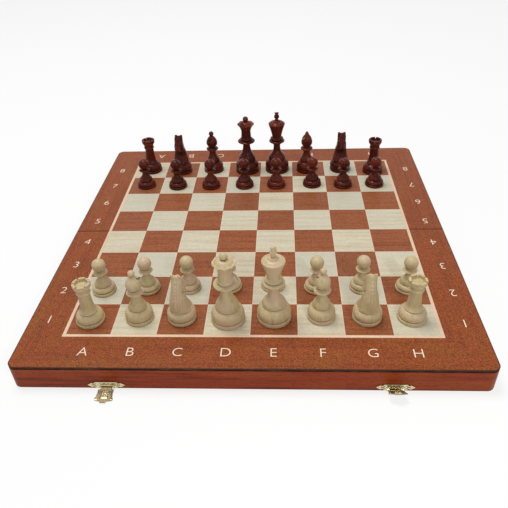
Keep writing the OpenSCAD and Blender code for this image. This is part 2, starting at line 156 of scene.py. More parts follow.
@dataclass
class Shape:
    """Points in millimetres and the faces between them, before they become a mesh."""

    points: list[Point3] = field(default_factory=list)
    faces: list[tuple[int, ...]] = field(default_factory=list)
    tones: list[float] = field(default_factory=list)

    def add(self, other: "Shape", place: Optional[Matrix] = None) -> "Shape":
        """Joins another shape to this one.

        Args:
            other: The shape to join.
            place: Where to put it, if not where it stands.

        Returns:
            This shape.
        """
        start = len(self.points)
        if other.tones or self.tones:
            self.tones += [1.0] * (start - len(self.tones))
            self.tones += other.tones or [1.0] * len(other.points)
        if place is None:
            self.points += other.points
        else:
            self.points += [tuple(place @ Vector(p)) for p in other.points]
        flip = place is not None and place.determinant() < 0
        for face in other.faces:
            moved = tuple(i + start for i in face)
            self.faces.append(moved[::-1] if flip else moved)
        return self

    def edited(self, edit: Callable[[bmesh.types.BMesh], None]) -> "Shape":
        """Runs a mesh edit on the shape.

        Args:
            edit: What changes the mesh.

        Returns:
            The changed shape.
        """
        mesh = self.mesh("edited", 1.0)
        work = bmesh.new()
        work.from_mesh(mesh)
        edit(work)
        work.verts.index_update()
        made = Shape(
            [tuple(v.co) for v in work.verts],
            [tuple(v.index for v in f.verts) for f in work.faces],
        )
        work.free()
        bpy.data.meshes.remove(mesh)
        return made

    def bevelled(self, width: float, segments: int = 2, sharper_than: float = 30) -> "Shape":
        """Rounds the shape's sharp edges.

        Args:
            width: Width of the rounding.
            segments: Faces across it.
            sharper_than: Least angle, in degrees, of an edge that is rounded.

        Returns:
            The rounded shape.
        """

        def edit(work: bmesh.types.BMesh) -> None:
            """Bevels the sharp edges of the work mesh."""
            limit = math.radians(sharper_than)
            sharp = [e for e in work.edges if e.calc_face_angle(0.0) > limit]
            bmesh.ops.bevel(
                work, geom=sharp, offset=width, segments=segments, profile=0.5,
                affect="EDGES", clamp_overlap=True,
            )

        return self.edited(edit)

    def mesh(self, name: str, scale: float = MM) -> bpy.types.Mesh:
        """Makes a mesh of the shape.

        Args:
            name: The mesh's name.
            scale: Size of one unit of the shape in the mesh.

        Returns:
            The new mesh.
        """
        mesh = bpy.data.meshes.new(name)
        mesh.from_pydata([[c * scale for c in p] for p in self.points], [], self.faces)
        if self.tones:
            layer = mesh.attributes.new("tone", "FLOAT", "POINT")
            layer.data.foreach_set("value", self.tones)
        mesh.validate()
        return mesh


def loft(rings: Sequence[Sequence[Point3]]) -> Shape:
    """Joins closed rings of equal length into a solid with flat ends.

    Args:
        rings: The rings, from the first end to the last.

    Returns:
        The closed shape.
    """
    count = len(rings[0])
    shape = Shape([p for ring in rings for p in ring])
    for k in range(len(rings) - 1):
        for i in range(count):
            j = (i + 1) % count
            low, high = k * count, (k + 1) * count
            shape.faces.append((low + i, low + j, high + j, high + i))
    shape.faces.append(tuple(range(count))[::-1])
    shape.faces.append(tuple(range((len(rings) - 1) * count, len(rings) * count)))
    return shape


def relief_tones(profile: Sequence[Point2], reach: float = 1.7) -> list[float]:
    """A tone for each point of a turned profile: under 1 in a groove, for painted shade, and up to 2 on
    raised rings, for a painted highlight.

    Args:
        profile: The (radius, height) points from the bottom up.
        reach: How far above and below a point its surroundings are looked for.

    Returns:
        A tone for each point, 1 where the surface is plain.
    """
    tones = []
    for k, (radius, height) in enumerate(profile):
        highest, lowest = [], []
        for other in (profile[:k], profile[k + 1:]):
            near = [r for r, z in other if abs(z - height) < reach]
            highest.append(max(near, default=0.0))
            lowest.append(min(near, default=radius))
        # Grooves get a low tone for painted shade, and raised rings a high one for a painted highlight.
        groove = smoothstep(0.15, 1.3, min(highest) - radius)
        ridge_highlight = smoothstep(0.25, 1.0, radius - max(lowest))
        tones.append(1 - groove + ridge_highlight)
    return tones


def even_angles(steps: int) -> list[float]:
    """Angles that share a full turn evenly, in degrees."""
    return [360 * i / steps for i in range(steps)]


def lathe(profile: Sequence[Point2], angles: Sequence[float]) -> Shape:
    """Turns a (radius, height) profile round the Z axis.

    Args:
        profile: The outline from the bottom's centre to the top's centre.
        angles: Angles of the lengthwise lines, in degrees.

    Returns:
        The turned shape.
    """
    shape = Shape()
    rows: list[list[int]] = []
    turns = [(math.cos(math.radians(a)), math.sin(math.radians(a))) for a in angles]
    for (radius, height), tone in zip(profile, relief_tones(profile)):
        start = len(shape.points)
        if radius < 1e-6:
            shape.points.append((0.0, 0.0, height))
            rows.append([start] * len(turns))
        else:
            shape.points += [(radius * c, radius * s, height) for c, s in turns]
            rows.append(list(range(start, start + len(turns))))
        shape.tones += [tone] * (len(shape.points) - start)
    for low, high in zip(rows, rows[1:]):
        for i in range(len(turns)):
            j = (i + 1) % len(turns)
            face = tuple(dict.fromkeys((low[i], low[j], high[j], high[i])))
            if len(face) > 2:
                shape.faces.append(face)
    return shape


def relief_sheet(
    columns: Sequence[float],
    rows: Sequence[float],
    surface: Callable[[float, float], tuple[Vector, Vector, float]],
    thickness: float,
    dent: Callable[[float, float], float] = lambda u, v: 0.0,
    wear_and_highlight: Callable[[float, float], float] = lambda u, v: 0.0,
) -> Shape:
    """Bends a sheet of metal over a surface and raises its face into a relief.

    Args:
        columns: Places across the sheet.
        rows: Places along the sheet.
        surface: Gives the middle point, the normal and the relief's height at a place.
        thickness: Thickness of the sheet.
        dent: How far the back is pressed into the sheet at a place.
        wear_and_highlight: The least tone of the face at a place, near 1 where the brass is painted
            bright as a highlight.

    Returns:
        The closed shape, with a lighter tone where the relief is high.
    """
    shape = Shape()
    high = max(surface(u, v)[2] for u in columns for v in rows) or 1.0
    index: dict[tuple[int, int, int], int] = {}

    def corner(i: int, j: int, face: int) -> int:
        """Index of the sheet's point at column i and row j, on its front or its back."""
        key = (i, j, face)
        if key not in index:
            middle, normal, relief = surface(columns[i], rows[j])
            pressed = dent(columns[i], rows[j])
            lift = thickness / 2 + relief if face else pressed - thickness / 2
            index[key] = len(shape.points)
            shape.points.append(tuple(middle + normal * lift))
            # The face's tone follows the relief, raised where a painted highlight is asked for.
            bright = max(0.25 + 0.75 * relief / high, wear_and_highlight(columns[i], rows[j]))
            shape.tones.append(bright if face else 0.4)
        return index[key]

    def inside(i: int, j: int) -> bool:
        """True where the cell at column i and row j is part of the sheet."""
        return 0 <= i < len(columns) - 1 and 0 <= j < len(rows) - 1

    for i in range(len(columns) - 1):
        for j in range(len(rows) - 1):
            around = [(i, j), (i + 1, j), (i + 1, j + 1), (i, j + 1)]
            shape.faces.append(tuple(corner(a, b, 1) for a, b in around))
            shape.faces.append(tuple(corner(a, b, 0) for a, b in around[::-1]))
            beside = [(i, j - 1), (i + 1, j), (i, j + 1), (i - 1, j)]
            for k, cell in enumerate(beside):
                if not inside(*cell):
                    a, b = around[k], around[(k + 1) % 4]
                    shape.faces.append(
                        (corner(*b, 1), corner(*a, 1), corner(*a, 0), corner(*b, 0))
                    )
    return shape


def linear(colour: Colour) -> tuple[float, float, float, float]:
    """Turns a colour as seen on a screen into the renderer's linear one.

    Args:
        colour: Red, green and blue from 0 to 255.

    Returns:
        Linear red, green and blue, and an alpha of 1.
    """

    def channel(value: float) -> float:
        """One channel's linear value."""
        share = value / 255
        return share / 12.92 if share <= 0.04045 else ((share + 0.055) / 1.055) ** 2.4

    return (channel(colour[0]), channel(colour[1]), channel(colour[2]), 1.0)


class Recipe:
    """A material's node tree, with a short method for each kind of node it is built from."""

    def __init__(self, name: str) -> None:
        """Starts a material whose tree holds only a surface shader and the output.

        Args:
            name: The material's name.
        """
        self.material = bpy.data.materials.new(name)
        self.material.use_nodes = True
        self.tree = self.material.node_tree
        self.shader = self.tree.nodes["Principled BSDF"]

    def node(self, kind: str, output: int | str = 0, **inputs: object) -> bpy.types.NodeSocket:
        """Adds a node.

        Args:
            kind: The node's type, without its Shader prefix.
            output: Which of its outputs to give back.
            **inputs: Values or sockets for inputs, by position as i0, i1 and so on, and
                settings of the node by their own names.

        Returns:
            The output socket.
        """
        made = self.tree.nodes.new(f"ShaderNode{kind}")
        places = {k: v for k, v in inputs.items() if k[0] == "i" and k[1:].isdigit()}
        for key, value in inputs.items():
            if key not in places:
                setattr(made, key, value)
        for key, value in places.items():
            self.plug(made.inputs[int(key[1:])], value)
        return made.outputs[output]

    def plug(self, socket: bpy.types.NodeSocket, value: object) -> None:
        """Links or sets an input.

        Args:
            socket: The input.
            value: A socket to link from, or the value itself.
        """
        if isinstance(value, bpy.types.NodeSocket):
            self.tree.links.new(value, socket)
        else:
            socket.default_value = value

    def set(self, **values: object) -> None:
        """Sets the surface shader's inputs, with an underscore for each space in a name."""
        for key, value in values.items():
            self.plug(self.shader.inputs[key.replace("_", " ")], value)

    def place(self) -> bpy.types.NodeSocket:
        """Where a point lies in its own piece, in metres."""
        return self.node("TexCoord", "Object")

    def axes(self, place: bpy.types.NodeSocket) -> Sequence[bpy.types.NodeSocket]:
        """The X, Y and Z of a place."""
        split = self.tree.nodes.new("ShaderNodeSeparateXYZ")
        self.plug(split.inputs[0], place)
        return split.outputs

    def sum(self, kind: str, a: object, b: object = 0.0) -> bpy.types.NodeSocket:
        """Arithmetic on two numbers, such as ADD or MULTIPLY."""
        return self.node("Math", operation=kind, i0=a, i1=b)

    def stretch(self, place: object, scale: Point3, shift: object = None) -> bpy.types.NodeSocket:
        """Scales a place along each axis, and shifts it.

        Args:
            place: The place.
            scale: Factor for each axis.
            shift: What is added to it first, if anything.

        Returns:
            The new place.
        """
        if shift is not None:
            place = self.node("VectorMath", operation="ADD", i0=place, i1=shift)
        return self.node("VectorMath", operation="MULTIPLY", i0=place, i1=scale)

    def noise(
        self, place: object, scale: float = 1.0, detail: float = 2.0, rough: float = 0.5,
        swirl: float = 0.0, seed: object = 0.0,
    ) -> bpy.types.NodeSocket:
        """Cloudy noise from about 0.3 to 0.7.

        Args:
            place: Where to read it.
            scale: Clouds in a unit of the place.
            detail: Octaves added to it.
            rough: Strength of the finer octaves.
            swirl: How far it distorts itself.
            seed: Picks another noise.

        Returns:
            The noise.
        """
        return self.node(
            "TexNoise", noise_dimensions="4D", i0=place, i1=seed, i2=scale, i3=detail,
            i4=rough, i8=swirl,
        )

    def band(self, value: object, low: float, high: float) -> bpy.types.NodeSocket:
        """Rises from 0 at low to 1 at high, smoothly."""
        return self.node(
            "MapRange", interpolation_type="SMOOTHSTEP", i0=value, i1=low, i2=high
        )

    def mix(self, share: object, a: object, b: object, how: str = "MIX") -> bpy.types.NodeSocket:
        """Mixes two colours.

        Args:
            share: How much of the second shows, from 0 to 1.
            a: The first colour.
            b: The second colour.
            how: How they mix, such as MIX or MULTIPLY.

        Returns:
            The mixed colour.
        """
        return self.node(
            "Mix", 2, data_type="RGBA", blend_type=how, i0=share, i6=a, i7=b
        )

    def bump(self, height: object, depth: float) -> None:
        """Gives the surface small bumps.

        Args:
            height: Their height, from 0 to 1.
            depth: What a height of 1 stands for, in metres.
        """
        made = self.tree.nodes.new("ShaderNodeBump")
        made.inputs["Distance"].default_value = depth
        made.inputs["Strength"].default_value = 1.0
        self.plug(made.inputs["Height"], height)
        self.plug(self.shader.inputs["Normal"], made.outputs[0])


@dataclass(frozen=True)
class Veneer:
    """Lacquered wood cut flat: a tone, its darker streaks, pores, and cloudy patches."""

    name: str
    slot: str
    body: Colour
    streak: Colour
    patch: Colour
    pore: Colour
    grain: Grain
    streaks: float = 0.6
    pores: float = 0.5
    speckle: float = 0.12
    square: float = 0.0
    odd_square: Optional[Colour] = None
    fleck: Optional[Colour] = None
    dark_edge: Optional[Colour] = None
    rim: Optional[Colour] = None
    roughness: float = 0.36
    gloss: float = 0.3

    def grain_place(self, recipe: Recipe) -> bpy.types.NodeSocket:
        """The place turned so that its X runs along the grain.

        Args:
            recipe: The material being made.

        Returns:
            The turned place.
        """
        place = recipe.place()
        if self.grain is Grain.ALONG_X:
            return place
        x, y, z = recipe.axes(place)
        if self.grain is Grain.ALONG_Z:
            return recipe.node("CombineXYZ", i0=z, i1=x, i2=y)
        turned = recipe.node("CombineXYZ", i0=y, i1=x, i2=z)
        if self.grain is Grain.ALONG_Y:
            return turned
        off_x = recipe.node("Math", operation="ABSOLUTE", i0=x)
        off_y = recipe.node("Math", operation="ABSOLUTE", i0=y)
        beside = recipe.sum("GREATER_THAN", off_x, off_y)
        return recipe.node("Mix", 1, data_type="VECTOR", i0=beside, i4=place, i5=turned)

    def beside_edge(self, recipe: Recipe) -> bpy.types.NodeSocket:
        """How near a square's edge a point is, from 0 inside it to 0.6 at the edge.

        Args:
            recipe: The material being made.

        Returns:
            The share.
        """
        x, y, _ = recipe.axes(recipe.place())
        off_x, off_y = (recipe.sum("PINGPONG", axis, self.square / 2) for axis in (x, y))
        away = recipe.band(recipe.sum("MINIMUM", off_x, off_y), 0.5 * MM, 1.5 * MM)
        return recipe.sum("MULTIPLY", recipe.sum("SUBTRACT", 1.0, away), 0.6)

    def edge_darkness(self, recipe: Recipe) -> bpy.types.NodeSocket:
        """How dark the edges are made: along the strip's outer arris, and along the fold.

        Args:
            recipe: The material being made.

        Returns:
            The share, from 0 to 1.
        """
        tone = recipe.node("Attribute", "Fac", attribute_name="tone")
        arris = recipe.sum("SUBTRACT", 1.0, tone)
        off = recipe.node("Math", operation="ABSOLUTE", i0=recipe.axes(recipe.place())[1])
        fold = recipe.sum("SUBTRACT", 1.0, recipe.band(off, 0.6 * MM, 1.6 * MM))
        return recipe.sum("MAXIMUM", arris, recipe.sum("MULTIPLY", fold, 0.8))

    def material(self) -> bpy.types.Material:
        """Builds the finish.

        Returns:
            The material.
        """
        r = Recipe(self.name)
        place = self.grain_place(r)
        seed: object = 0.0
        tone: object = 0.0
        if self.square:
            cell = r.node(
                "VectorMath", operation="FLOOR",
                i0=r.stretch(place, (1 / self.square, 1 / self.square, 0.0)),
            )
            tone = r.node("TexWhiteNoise", noise_dimensions="3D", i0=cell)
            seed = r.sum("MULTIPLY", tone, 40.0)
        wander = r.noise(r.stretch(place, (9, 30, 30)), detail=1, seed=seed)
        warped = r.stretch(
            place, (1, 1, 1),
            r.node("CombineXYZ", i1=r.sum("MULTIPLY", r.sum("SUBTRACT", wander, 0.5), 0.006)),
        )
        streak = r.noise(r.stretch(warped, (7, 230, 230)), detail=5, rough=0.62, seed=seed)
        fine = r.noise(r.stretch(warped, (40, 900, 900)), detail=2, rough=0.6, seed=seed)
        cloud = r.noise(r.stretch(warped, (14, 42, 42)), detail=3, rough=0.55, seed=seed)
        pore = r.noise(r.stretch(warped, (190, 1500, 1500)), detail=1, seed=seed)
        grit = r.noise(place, scale=980, detail=1, seed=seed)
        colour = r.mix(
            r.sum("MULTIPLY", r.band(streak, 0.42, 0.68), self.streaks),
            linear(self.body), linear(self.streak),
        )
        colour = r.mix(r.sum("MULTIPLY", r.band(cloud, 0.45, 0.72), 0.75), colour, linear(self.patch))
        if self.odd_square:
            share = r.sum("MULTIPLY", r.band(tone, 0.35, 0.95), 0.7)
            colour = r.mix(share, colour, linear(self.odd_square))
        lines = r.sum("MULTIPLY", r.band(fine, 0.5, 0.75), self.streaks * 0.7)
        colour = r.mix(lines, colour, linear(self.streak))
        colour = r.mix(
            r.sum("MULTIPLY", r.band(pore, 0.56, 0.68), self.pores), colour, linear(self.pore)
        )
        if self.fleck:
            fleck = r.noise(r.stretch(place, (620, 1300, 1300)), detail=2, rough=0.7, seed=seed)
            colour = r.mix(r.sum("MULTIPLY", r.band(fleck, 0.5, 0.66), 0.6), colour, linear(self.fleck))
        value = r.sum("ADD", r.sum("MULTIPLY", r.sum("SUBTRACT", grit, 0.5), 4 * self.speckle), 1.0)
        colour = r.node("VectorMath", operation="SCALE", i0=colour, i3=value)
        if self.dark_edge:
            colour = r.mix(self.edge_darkness(r), colour, linear(self.dark_edge))
        if self.rim:
            colour = r.mix(self.beside_edge(r), colour, linear(self.rim))
        r.set(
            Base_Color=colour,
            Roughness=r.sum("ADD", r.sum("MULTIPLY", fine, 0.16), self.roughness - 0.08),
            Specular_IOR_Level=self.gloss,
        )
        r.bump(r.sum("SUBTRACT", streak, r.sum("MULTIPLY", pore, 0.6)), 0.00005)
        return r.material


@dataclass(frozen=True)
class TurnedWood:
    """Wood turned on a lathe, with its grain upright and faint rings from the tool."""

    name: str
    slot: str
    body: Colour
    streak: Colour
    blush: Colour
    # The groove colour is painted shade for grooves, carvings and the bishop's slit; the colour after
    # it is a painted highlight on raised rings.
    groove: Colour
    ridge_highlight: Colour
    roughness: float
    gloss: float
    rings: float = 0.00002

    def material(self) -> bpy.types.Material:
        """Builds the finish.

        Returns:
            The material.
        """
        r = Recipe(self.name)
        place = r.place()
        seed = r.sum("MULTIPLY", r.node("ObjectInfo", "Random"), 60.0)
        wander = r.noise(place, scale=55, detail=1, seed=seed)
        warped = r.stretch(
            place, (1, 1, 1),
            r.node("CombineXYZ", i0=r.sum("MULTIPLY", r.sum("SUBTRACT", wander, 0.5), 0.012)),
        )
        grain = r.noise(r.stretch(warped, (420, 420, 26)), detail=4, rough=0.6, seed=seed)
        fibre = r.noise(r.stretch(warped, (1500, 1500, 120)), detail=2, seed=seed)
        cloud = r.noise(r.stretch(place, (60, 60, 34)), detail=2, seed=seed)
        colour = r.mix(
            r.sum("MULTIPLY", r.band(grain, 0.44, 0.74), 0.5), linear(self.body),
            linear(self.streak),
        )
        colour = r.mix(r.sum("MULTIPLY", r.band(cloud, 0.44, 0.66), 0.8), colour, linear(self.blush))
        colour = r.mix(
            r.sum("MULTIPLY", r.band(fibre, 0.5, 0.74), 0.35), colour, linear(self.streak)
        )
        undarkened = r.node("Attribute", "Fac", attribute_name="tone")
        # Painted highlight: raised rings are lightened towards the highlight colour.
        wear_and_highlight = r.sum("MULTIPLY", r.band(undarkened, 1.05, 1.9), 0.55)
        colour = r.mix(wear_and_highlight, colour, linear(self.ridge_highlight))
        # Painted shade: grooves, carvings and the slit are darkened towards the groove colour.
        groove_shade = r.sum("MULTIPLY", r.sum("SUBTRACT", 1.0, r.band(undarkened, 0.0, 1.0)), 0.85)
        colour = r.mix(groove_shade, colour, linear(self.groove))
        r.set(
            Base_Color=colour, Roughness=self.roughness, Specular_IOR_Level=self.gloss,
        )
        rings = r.node(
            "TexWave", "Fac", wave_type="BANDS", bands_direction="Z", i0=place, i1=260.0,
            i2=1.5, i3=2.0,
        )
        r.bump(r.sum("ADD", r.sum("MULTIPLY", rings, 0.5), grain), self.rings)
        return r.material


@dataclass(frozen=True)
class Metal:
    """Brass with a soft polish, scratches, and tarnish where a relief is low."""

    name: str
    slot: str
    bright: Colour
    tarnish: Colour
    roughness: float
    relief: bool = False

    def material(self) -> bpy.types.Material:
        """Builds the finish.

        Returns:
            The material.
        """
        r = Recipe(self.name)
        place = r.place()
        spots = r.noise(place, scale=420, detail=4, rough=0.65)
        rub = r.noise(r.stretch(place, (180, 2200, 2200)), detail=2)
        dull = r.sum("MULTIPLY", r.band(spots, 0.5, 0.75), 0.55)
        if self.relief:
            tone = r.node("Attribute", "Fac", attribute_name="tone")
            low = r.sum("SUBTRACT", 1.0, r.band(tone, 0.2, 0.75))
            dull = r.sum("MAXIMUM", dull, r.sum("MULTIPLY", low, 0.8))
        r.set(
            Base_Color=r.mix(dull, linear(self.bright), linear(self.tarnish)),
            Metallic=1.0,
            Roughness=r.sum("ADD", r.sum("MULTIPLY", dull, 0.25), self.roughness),
        )
        r.bump(r.sum("ADD", rub, r.sum("MULTIPLY", spots, 0.8)), 0.00002)
        return r.material


@dataclass(frozen=True)
class Ply:
    """Plywood whose cut edge is dark, with plain wood on its faces."""

    name: str
    slot: str
    dark_edge: Colour
    face: Colour
    streak: Colour

    def material(self) -> bpy.types.Material:
        """Builds the finish.

        Returns:
            The material.
        """
        r = Recipe(self.name)
        place = r.place()
        grain = r.noise(r.stretch(place, (8, 260, 260)), detail=4, rough=0.6)
        face = r.mix(r.band(grain, 0.4, 0.68), linear(self.face), linear(self.streak))
        facing = r.axes(r.node("TexCoord", "Normal"))
        level = r.node("Math", operation="ABSOLUTE", i0=facing[2])
        wear_and_highlight = r.noise(r.stretch(place, (60, 60, 900)), detail=3)
        edge = r.mix(
            r.sum("MULTIPLY", r.band(wear_and_highlight, 0.5, 0.7), 0.4), linear(self.dark_edge), linear(self.face)
        )
        r.set(
            Base_Color=r.mix(r.band(level, 0.4, 0.6), edge, face), Roughness=0.6,
            Specular_IOR_Level=0.15,
        )
        r.bump(grain, 0.00004)
        return r.material


@dataclass(frozen=True)
class Ink:
    """Thin cream paint of the board's letters."""

    name: str
    slot: str
    body: Colour
    wear_and_highlight: Colour

    def material(self) -> bpy.types.Material:
        """Builds the finish.

        Returns:
            The material.
        """
        r = Recipe(self.name)
        patches = r.noise(r.place(), scale=900, detail=3)
        r.set(
            Base_Color=r.mix(
                r.sum("MULTIPLY", r.band(patches, 0.48, 0.72), 0.5),
                linear(self.body), linear(self.wear_and_highlight),
            ),
            Roughness=0.45,
        )
        r.bump(patches, 0.00001)
        return r.material


BORDER = Veneer(
    "border_veneer_lacquered", "border_veneer", (142, 68, 34), (100, 40, 20), (138, 78, 36),
    (60, 22, 12), Grain.MITRED, streaks=0.55, pores=0.9, speckle=0.5, fleck=(188, 120, 64),
    dark_edge=(50, 32, 20), roughness=0.42, gloss=0.14,
)
WALL = Veneer(
    "wall_wood_lacquered", "wall_wood", (148, 60, 28), (100, 34, 16), (156, 74, 32),
    (62, 20, 12), Grain.MITRED, streaks=0.8, pores=0.5, speckle=0.14, roughness=0.42, gloss=0.1,
)
DARK_SQUARE = Veneer(
    "dark_square_lacquered", "dark_veneer", (154, 88, 53), (116, 56, 32), (146, 90, 54),
    (90, 38, 22), Grain.ALONG_X, streaks=0.6, pores=0.7, speckle=0.42, square=50 * MM,
    odd_square=(140, 86, 54), roughness=0.42, gloss=0.14,
)
LIGHT_SQUARE = Veneer(
    "light_square_lacquered", "light_veneer", (212, 203, 178), (188, 172, 140),
    (206, 200, 180), (160, 146, 116), Grain.ALONG_X, streaks=0.7, pores=0.3, speckle=0.12,
    square=50 * MM, odd_square=(198, 194, 176), rim=(232, 204, 182), roughness=0.42,
    gloss=0.16,
)
LINE = Veneer(
    "pale_line_lacquered", "line_veneer", (228, 200, 172), (206, 168, 138), (232, 208, 182),
    (180, 140, 110), Grain.MITRED, streaks=0.5, pores=0.3, speckle=0.08, roughness=0.42,
    gloss=0.16,
)
# In each turned finish the fourth colour is painted shade for grooves and the fifth a painted highlight
# on raised rings.
PALE_MEN = TurnedWood(
    "pale_turned_wood", "pale_men", (200, 182, 138), (158, 132, 86), (206, 178, 150),
    (66, 48, 20), (226, 214, 180), roughness=0.36, gloss=0.34,
)
DARK_MEN = TurnedWood(
    "dark_turned_wood", "dark_men", (82, 28, 16), (38, 12, 8), (112, 44, 28),
    (14, 5, 3), (138, 66, 46), roughness=0.2, gloss=0.12,
)
HINGE_BRASS = Metal("hinge_brass_brushed", "hinge_brass", (214, 178, 104), (140, 104, 52), 0.26)
FIXING_BRASS = Metal("fixing_brass_bright", "fixing_brass", (226, 196, 124), (150, 116, 60), 0.22)
CLASP_BRASS = Metal(
    "clasp_brass_pressed", "clasp_brass", (242, 232, 196), (88, 76, 48), 0.2, relief=True,
)
# A darker copy of the clasp brass for the hasps: painted shade for the darker reflection they show,
# with darker tarnish.
SHADED_HASP_BRASS = Metal(
    "clasp_brass_hasp_shaded", "clasp_brass", (222, 206, 168), (60, 50, 30), 0.27, relief=True,
)
PLAIN_CLASP_BRASS = Metal(
    "clasp_brass_plain", "clasp_brass", (226, 208, 150), (120, 100, 54), 0.22
)
PLYWOOD = Ply("plywood_dark_edged", "plywood", (30, 12, 8), (150, 104, 68), (120, 78, 48))
LETTER_INK = Ink("letter_paint", "line_veneer", (240, 226, 200), (214, 180, 146))


class Finishes:
    """Every finish's material, made once."""

    def __init__(self) -> None:
        """Starts with no material made."""
        self.made: dict[str, bpy.types.Material] = {}

    def of(self, finish: object) -> bpy.types.Material:
        """The material of a finish.

        Args:
            finish: One of the finish dataclasses.

        Returns:
            Its material.
        """
        if finish.name not in self.made:
            self.made[finish.name] = finish.material()
        return self.made[finish.name]

    def piece(
        self, name: str, shape: Shape | bpy.types.Mesh, finish: object, body: str,
        stands_for: Iterable[str] = (), place: Optional[Matrix] = None, crease: float = 32,
    ) -> bpy.types.Object:
        """Makes a dressed piece that rides on a body.

        Args:
            name: The piece's name.
            shape: Its shape, or a mesh that is ready.
            finish: Its finish.
            body: The CAD body it rides on.
            stands_for: CAD nodes that it replaces.
            place: Where it stands, if its points aren't in the row frame.
            crease: Least angle of an edge that stays sharp, in degrees.

        Returns:
            The piece.
        """
        mesh = shape.mesh(name) if isinstance(shape, Shape) else shape
        if not mesh.materials:
            mesh.materials.append(self.of(finish))
            mesh.shade_smooth()
            mesh.set_sharp_from_angle(angle=math.radians(crease))
        made = new_object(name, mesh)
        if place is not None:
            made.matrix_world = place
        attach(made, body)
        nodes = list(stands_for)
        if nodes:
            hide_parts(*nodes)
        LOG.info("%s rides on %s", name, body)
        return made

    def dress(self, node: str, finish: object, edge: float = 0.0) -> None:
        """Gives a CAD node its finish, and rounds its edges a little.

        Args:
            node: The node's name.
            finish: Its finish.
            edge: Width of the rounding, or 0 for none.
        """
        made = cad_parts[node]
        made.data.materials.clear()
        made.data.materials.append(self.of(finish))
        if edge:
            rounding = made.modifiers.new("rounded_edges", "BEVEL")
            rounding.width = edge * MM
            rounding.segments = 2
            rounding.limit_method = "ANGLE"
            rounding.angle_limit = math.radians(40)
            rounding.harden_normals = False
        LOG.info("%s is dressed", node)


def arc(centre: Point2, radius: float, start: float, end: float, steps: int) -> list[Point2]:
    """Points along an arc.

    Args:
        centre: Its centre.
        radius: Its radius.
        start: The angle it starts at, in degrees.
        end: The angle it ends at.
        steps: Stretches between its points.

    Returns:
        The points, both ends among them.
    """
    angles = [math.radians(start + (end - start) * i / steps) for i in range(steps + 1)]
    return [(centre[0] + radius * math.cos(a), centre[1] + radius * math.sin(a)) for a in angles]


